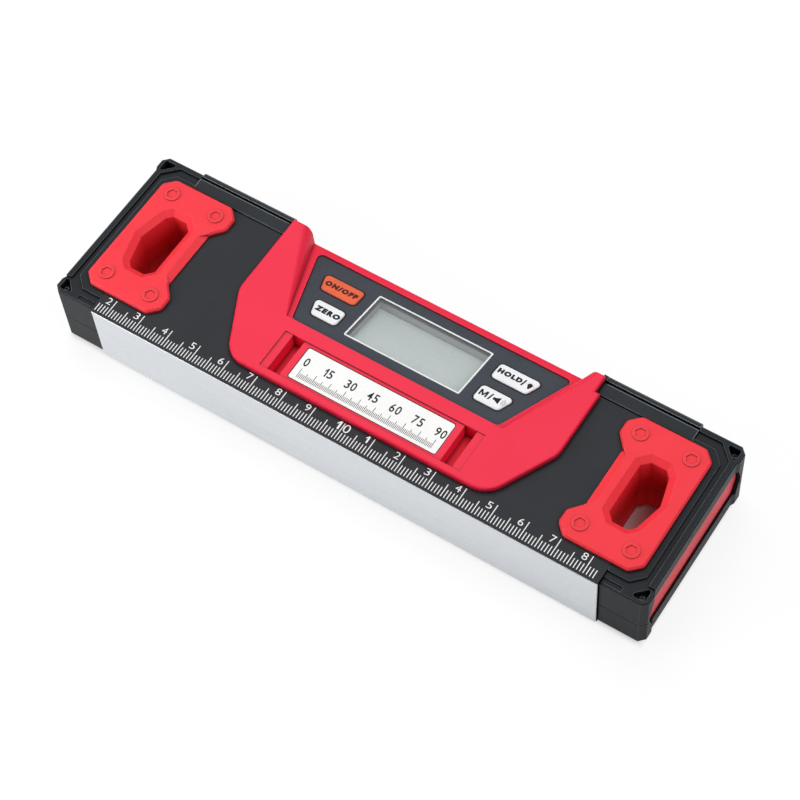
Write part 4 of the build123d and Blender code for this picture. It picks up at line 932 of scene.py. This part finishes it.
# Floor: seen as a white sweep round the tool, with a faint shadow. Under the tool it is as dark as it is lit,
# and the glow in its reflections is painted darker along the tool, a painted shade on the tool's faces.
sweep = {
    "half": 3.0, "margin": 4, "glow": 0.8, "under": 0.0, "reflectionShade": 0.35, "strength": 1.05, "dark": "#F0F0F0",
    "light": "#F8F8F8", "tooth": 2, "rough": 0.9, "shine": 0.1}
floorMesh = bpy.data.meshes.new("floor")
half = sweep["half"]
floorMesh.from_pydata(
    [(-half, -half, 0), (half, -half, 0), (half, half, 0), (-half, half, 0)], [], [(0, 1, 2, 3)])
floor = bpy.data.objects.new("floor", floorMesh)
scene.collection.objects.link(floor)
material, tree, shader = startMaterial("paleSweep")
spot = addNode(tree, "ShaderNodeTexCoord").outputs["Object"]
tooth = addNode(
    tree, "ShaderNodeTexNoise", {"Vector": spot, "Scale": 1 / (sweep["tooth"] * mm), "Detail": 2.0})
paper = addNode(
    tree, "ShaderNodeMix",
    {0: tooth.outputs["Fac"], 6: linear(sweep["dark"]), 7: linear(sweep["light"])}, data_type="RGBA")
wire(tree, shader, {
    "Base Color": paper.outputs[2], "Roughness": sweep["rough"], "Specular IOR Level": sweep["shine"]})
apart = addNode(tree, "ShaderNodeVectorMath", {0: spot}, operation="ABSOLUTE")
beyond = addNode(
    tree, "ShaderNodeVectorMath",
    {0: apart.outputs[0], 1: (cadBox[1].x, cadBox[1].y, 0)}, operation="SUBTRACT")
axes = addNode(tree, "ShaderNodeSeparateXYZ", {0: beyond.outputs[0]})
outside = addNode(
    tree, "ShaderNodeMath", {0: axes.outputs["X"], 1: axes.outputs["Y"]}, operation="MAXIMUM")
share = addNode(
    tree, "ShaderNodeMapRange",
    {"Value": outside.outputs[0], "From Min": -sweep["margin"] * mm, "From Max": 0.0,
     "To Min": sweep["under"], "To Max": sweep["glow"]})
path = addNode(tree, "ShaderNodeLightPath")
along = addNode(tree, "ShaderNodeSeparateXYZ", {0: spot}).outputs["X"]
# Painted shade: the glow seen in reflections dims towards the tool's right end
reflectionShade = addNode(
    tree, "ShaderNodeMapRange",
    {"Value": along, "From Min": cadBox[0].x, "From Max": cadBox[1].x,
     "To Min": 1.0, "To Max": sweep["reflectionShade"]})
mirrored = addNode(
    tree, "ShaderNodeMath", {0: reflectionShade.outputs[0], 1: path.outputs["Is Glossy Ray"]}, operation="MULTIPLY")
seen = addNode(
    tree, "ShaderNodeMath", {0: path.outputs["Is Camera Ray"], 1: mirrored.outputs[0]}, operation="MAXIMUM")
through = addNode(
    tree, "ShaderNodeMath", {0: seen.outputs[0], 1: path.outputs["Is Transmission Ray"]}, operation="MAXIMUM")
amount = addNode(
    tree, "ShaderNodeMath", {0: share.outputs[0], 1: through.outputs[0]}, operation="MULTIPLY")
glow = addNode(tree, "ShaderNodeEmission", {"Color": (1, 1, 1, 1), "Strength": sweep["strength"]})
blend = addNode(
    tree, "ShaderNodeMixShader", {0: amount.outputs[0], 1: shader.outputs[0], 2: glow.outputs[0]})
wire(tree, tree.nodes["Material Output"], {"Surface": blend.outputs[0]})
floorMesh.materials.append(material)

# Soft studio light: an even room, a large softbox above and behind, weaker fills from the right and the front
roomLight = 0.18
world = bpy.data.worlds.new("studio")
world.use_nodes = True
scene.world = world
wire(world.node_tree, world.node_tree.nodes["Background"], {"Color": (1, 1, 1, 1), "Strength": roomLight})
lamps = {
    "softbox": {"place": (-0.4, 0.45, 1.15), "size": 0.9, "power": 8.4},
    "rightFill": {"place": (0.6, 0.0, 0.9), "size": 0.6, "power": 4.3},
    "frontFill": {"place": (-0.36, -0.3, 0.18), "size": 0.3, "power": 1.25},
}
for name, lamp in lamps.items():
    data = bpy.data.lights.new(name, "AREA")
    data.size = lamp["size"]
    data.energy = lamp["power"]
    light = bpy.data.objects.new(name, data)
    light.location = lamp["place"]
    light.rotation_euler = (-Vector(lamp["place"])).to_track_quat("-Z", "Y").to_euler()
    scene.collection.objects.link(light)

# Camera at the photograph's viewing angle
cameraView = {
    "place": (0.2082, -0.2631, 0.5511), "forward": (-0.3227, 0.4129, -0.8517), "roll": 5.89, "lens": 99.08,
    "sensor": 36, "nearest": 0.01}
cameraData = bpy.data.cameras.new("camera")
cameraData.sensor_width = cameraView["sensor"]
cameraData.lens = cameraView["lens"]
cameraData.clip_start = cameraView["nearest"]
camera = bpy.data.objects.new("camera", cameraData)
camera.location = cameraView["place"]
aim = Vector(cameraView["forward"]).to_track_quat("-Z", "Y")
camera.rotation_euler = (aim @ Quaternion((0, 0, 1), radians(-cameraView["roll"]))).to_euler()
scene.collection.objects.link(camera)
scene.camera = camera
scene.view_settings.view_transform = "Standard"
print("stage, light and camera set")
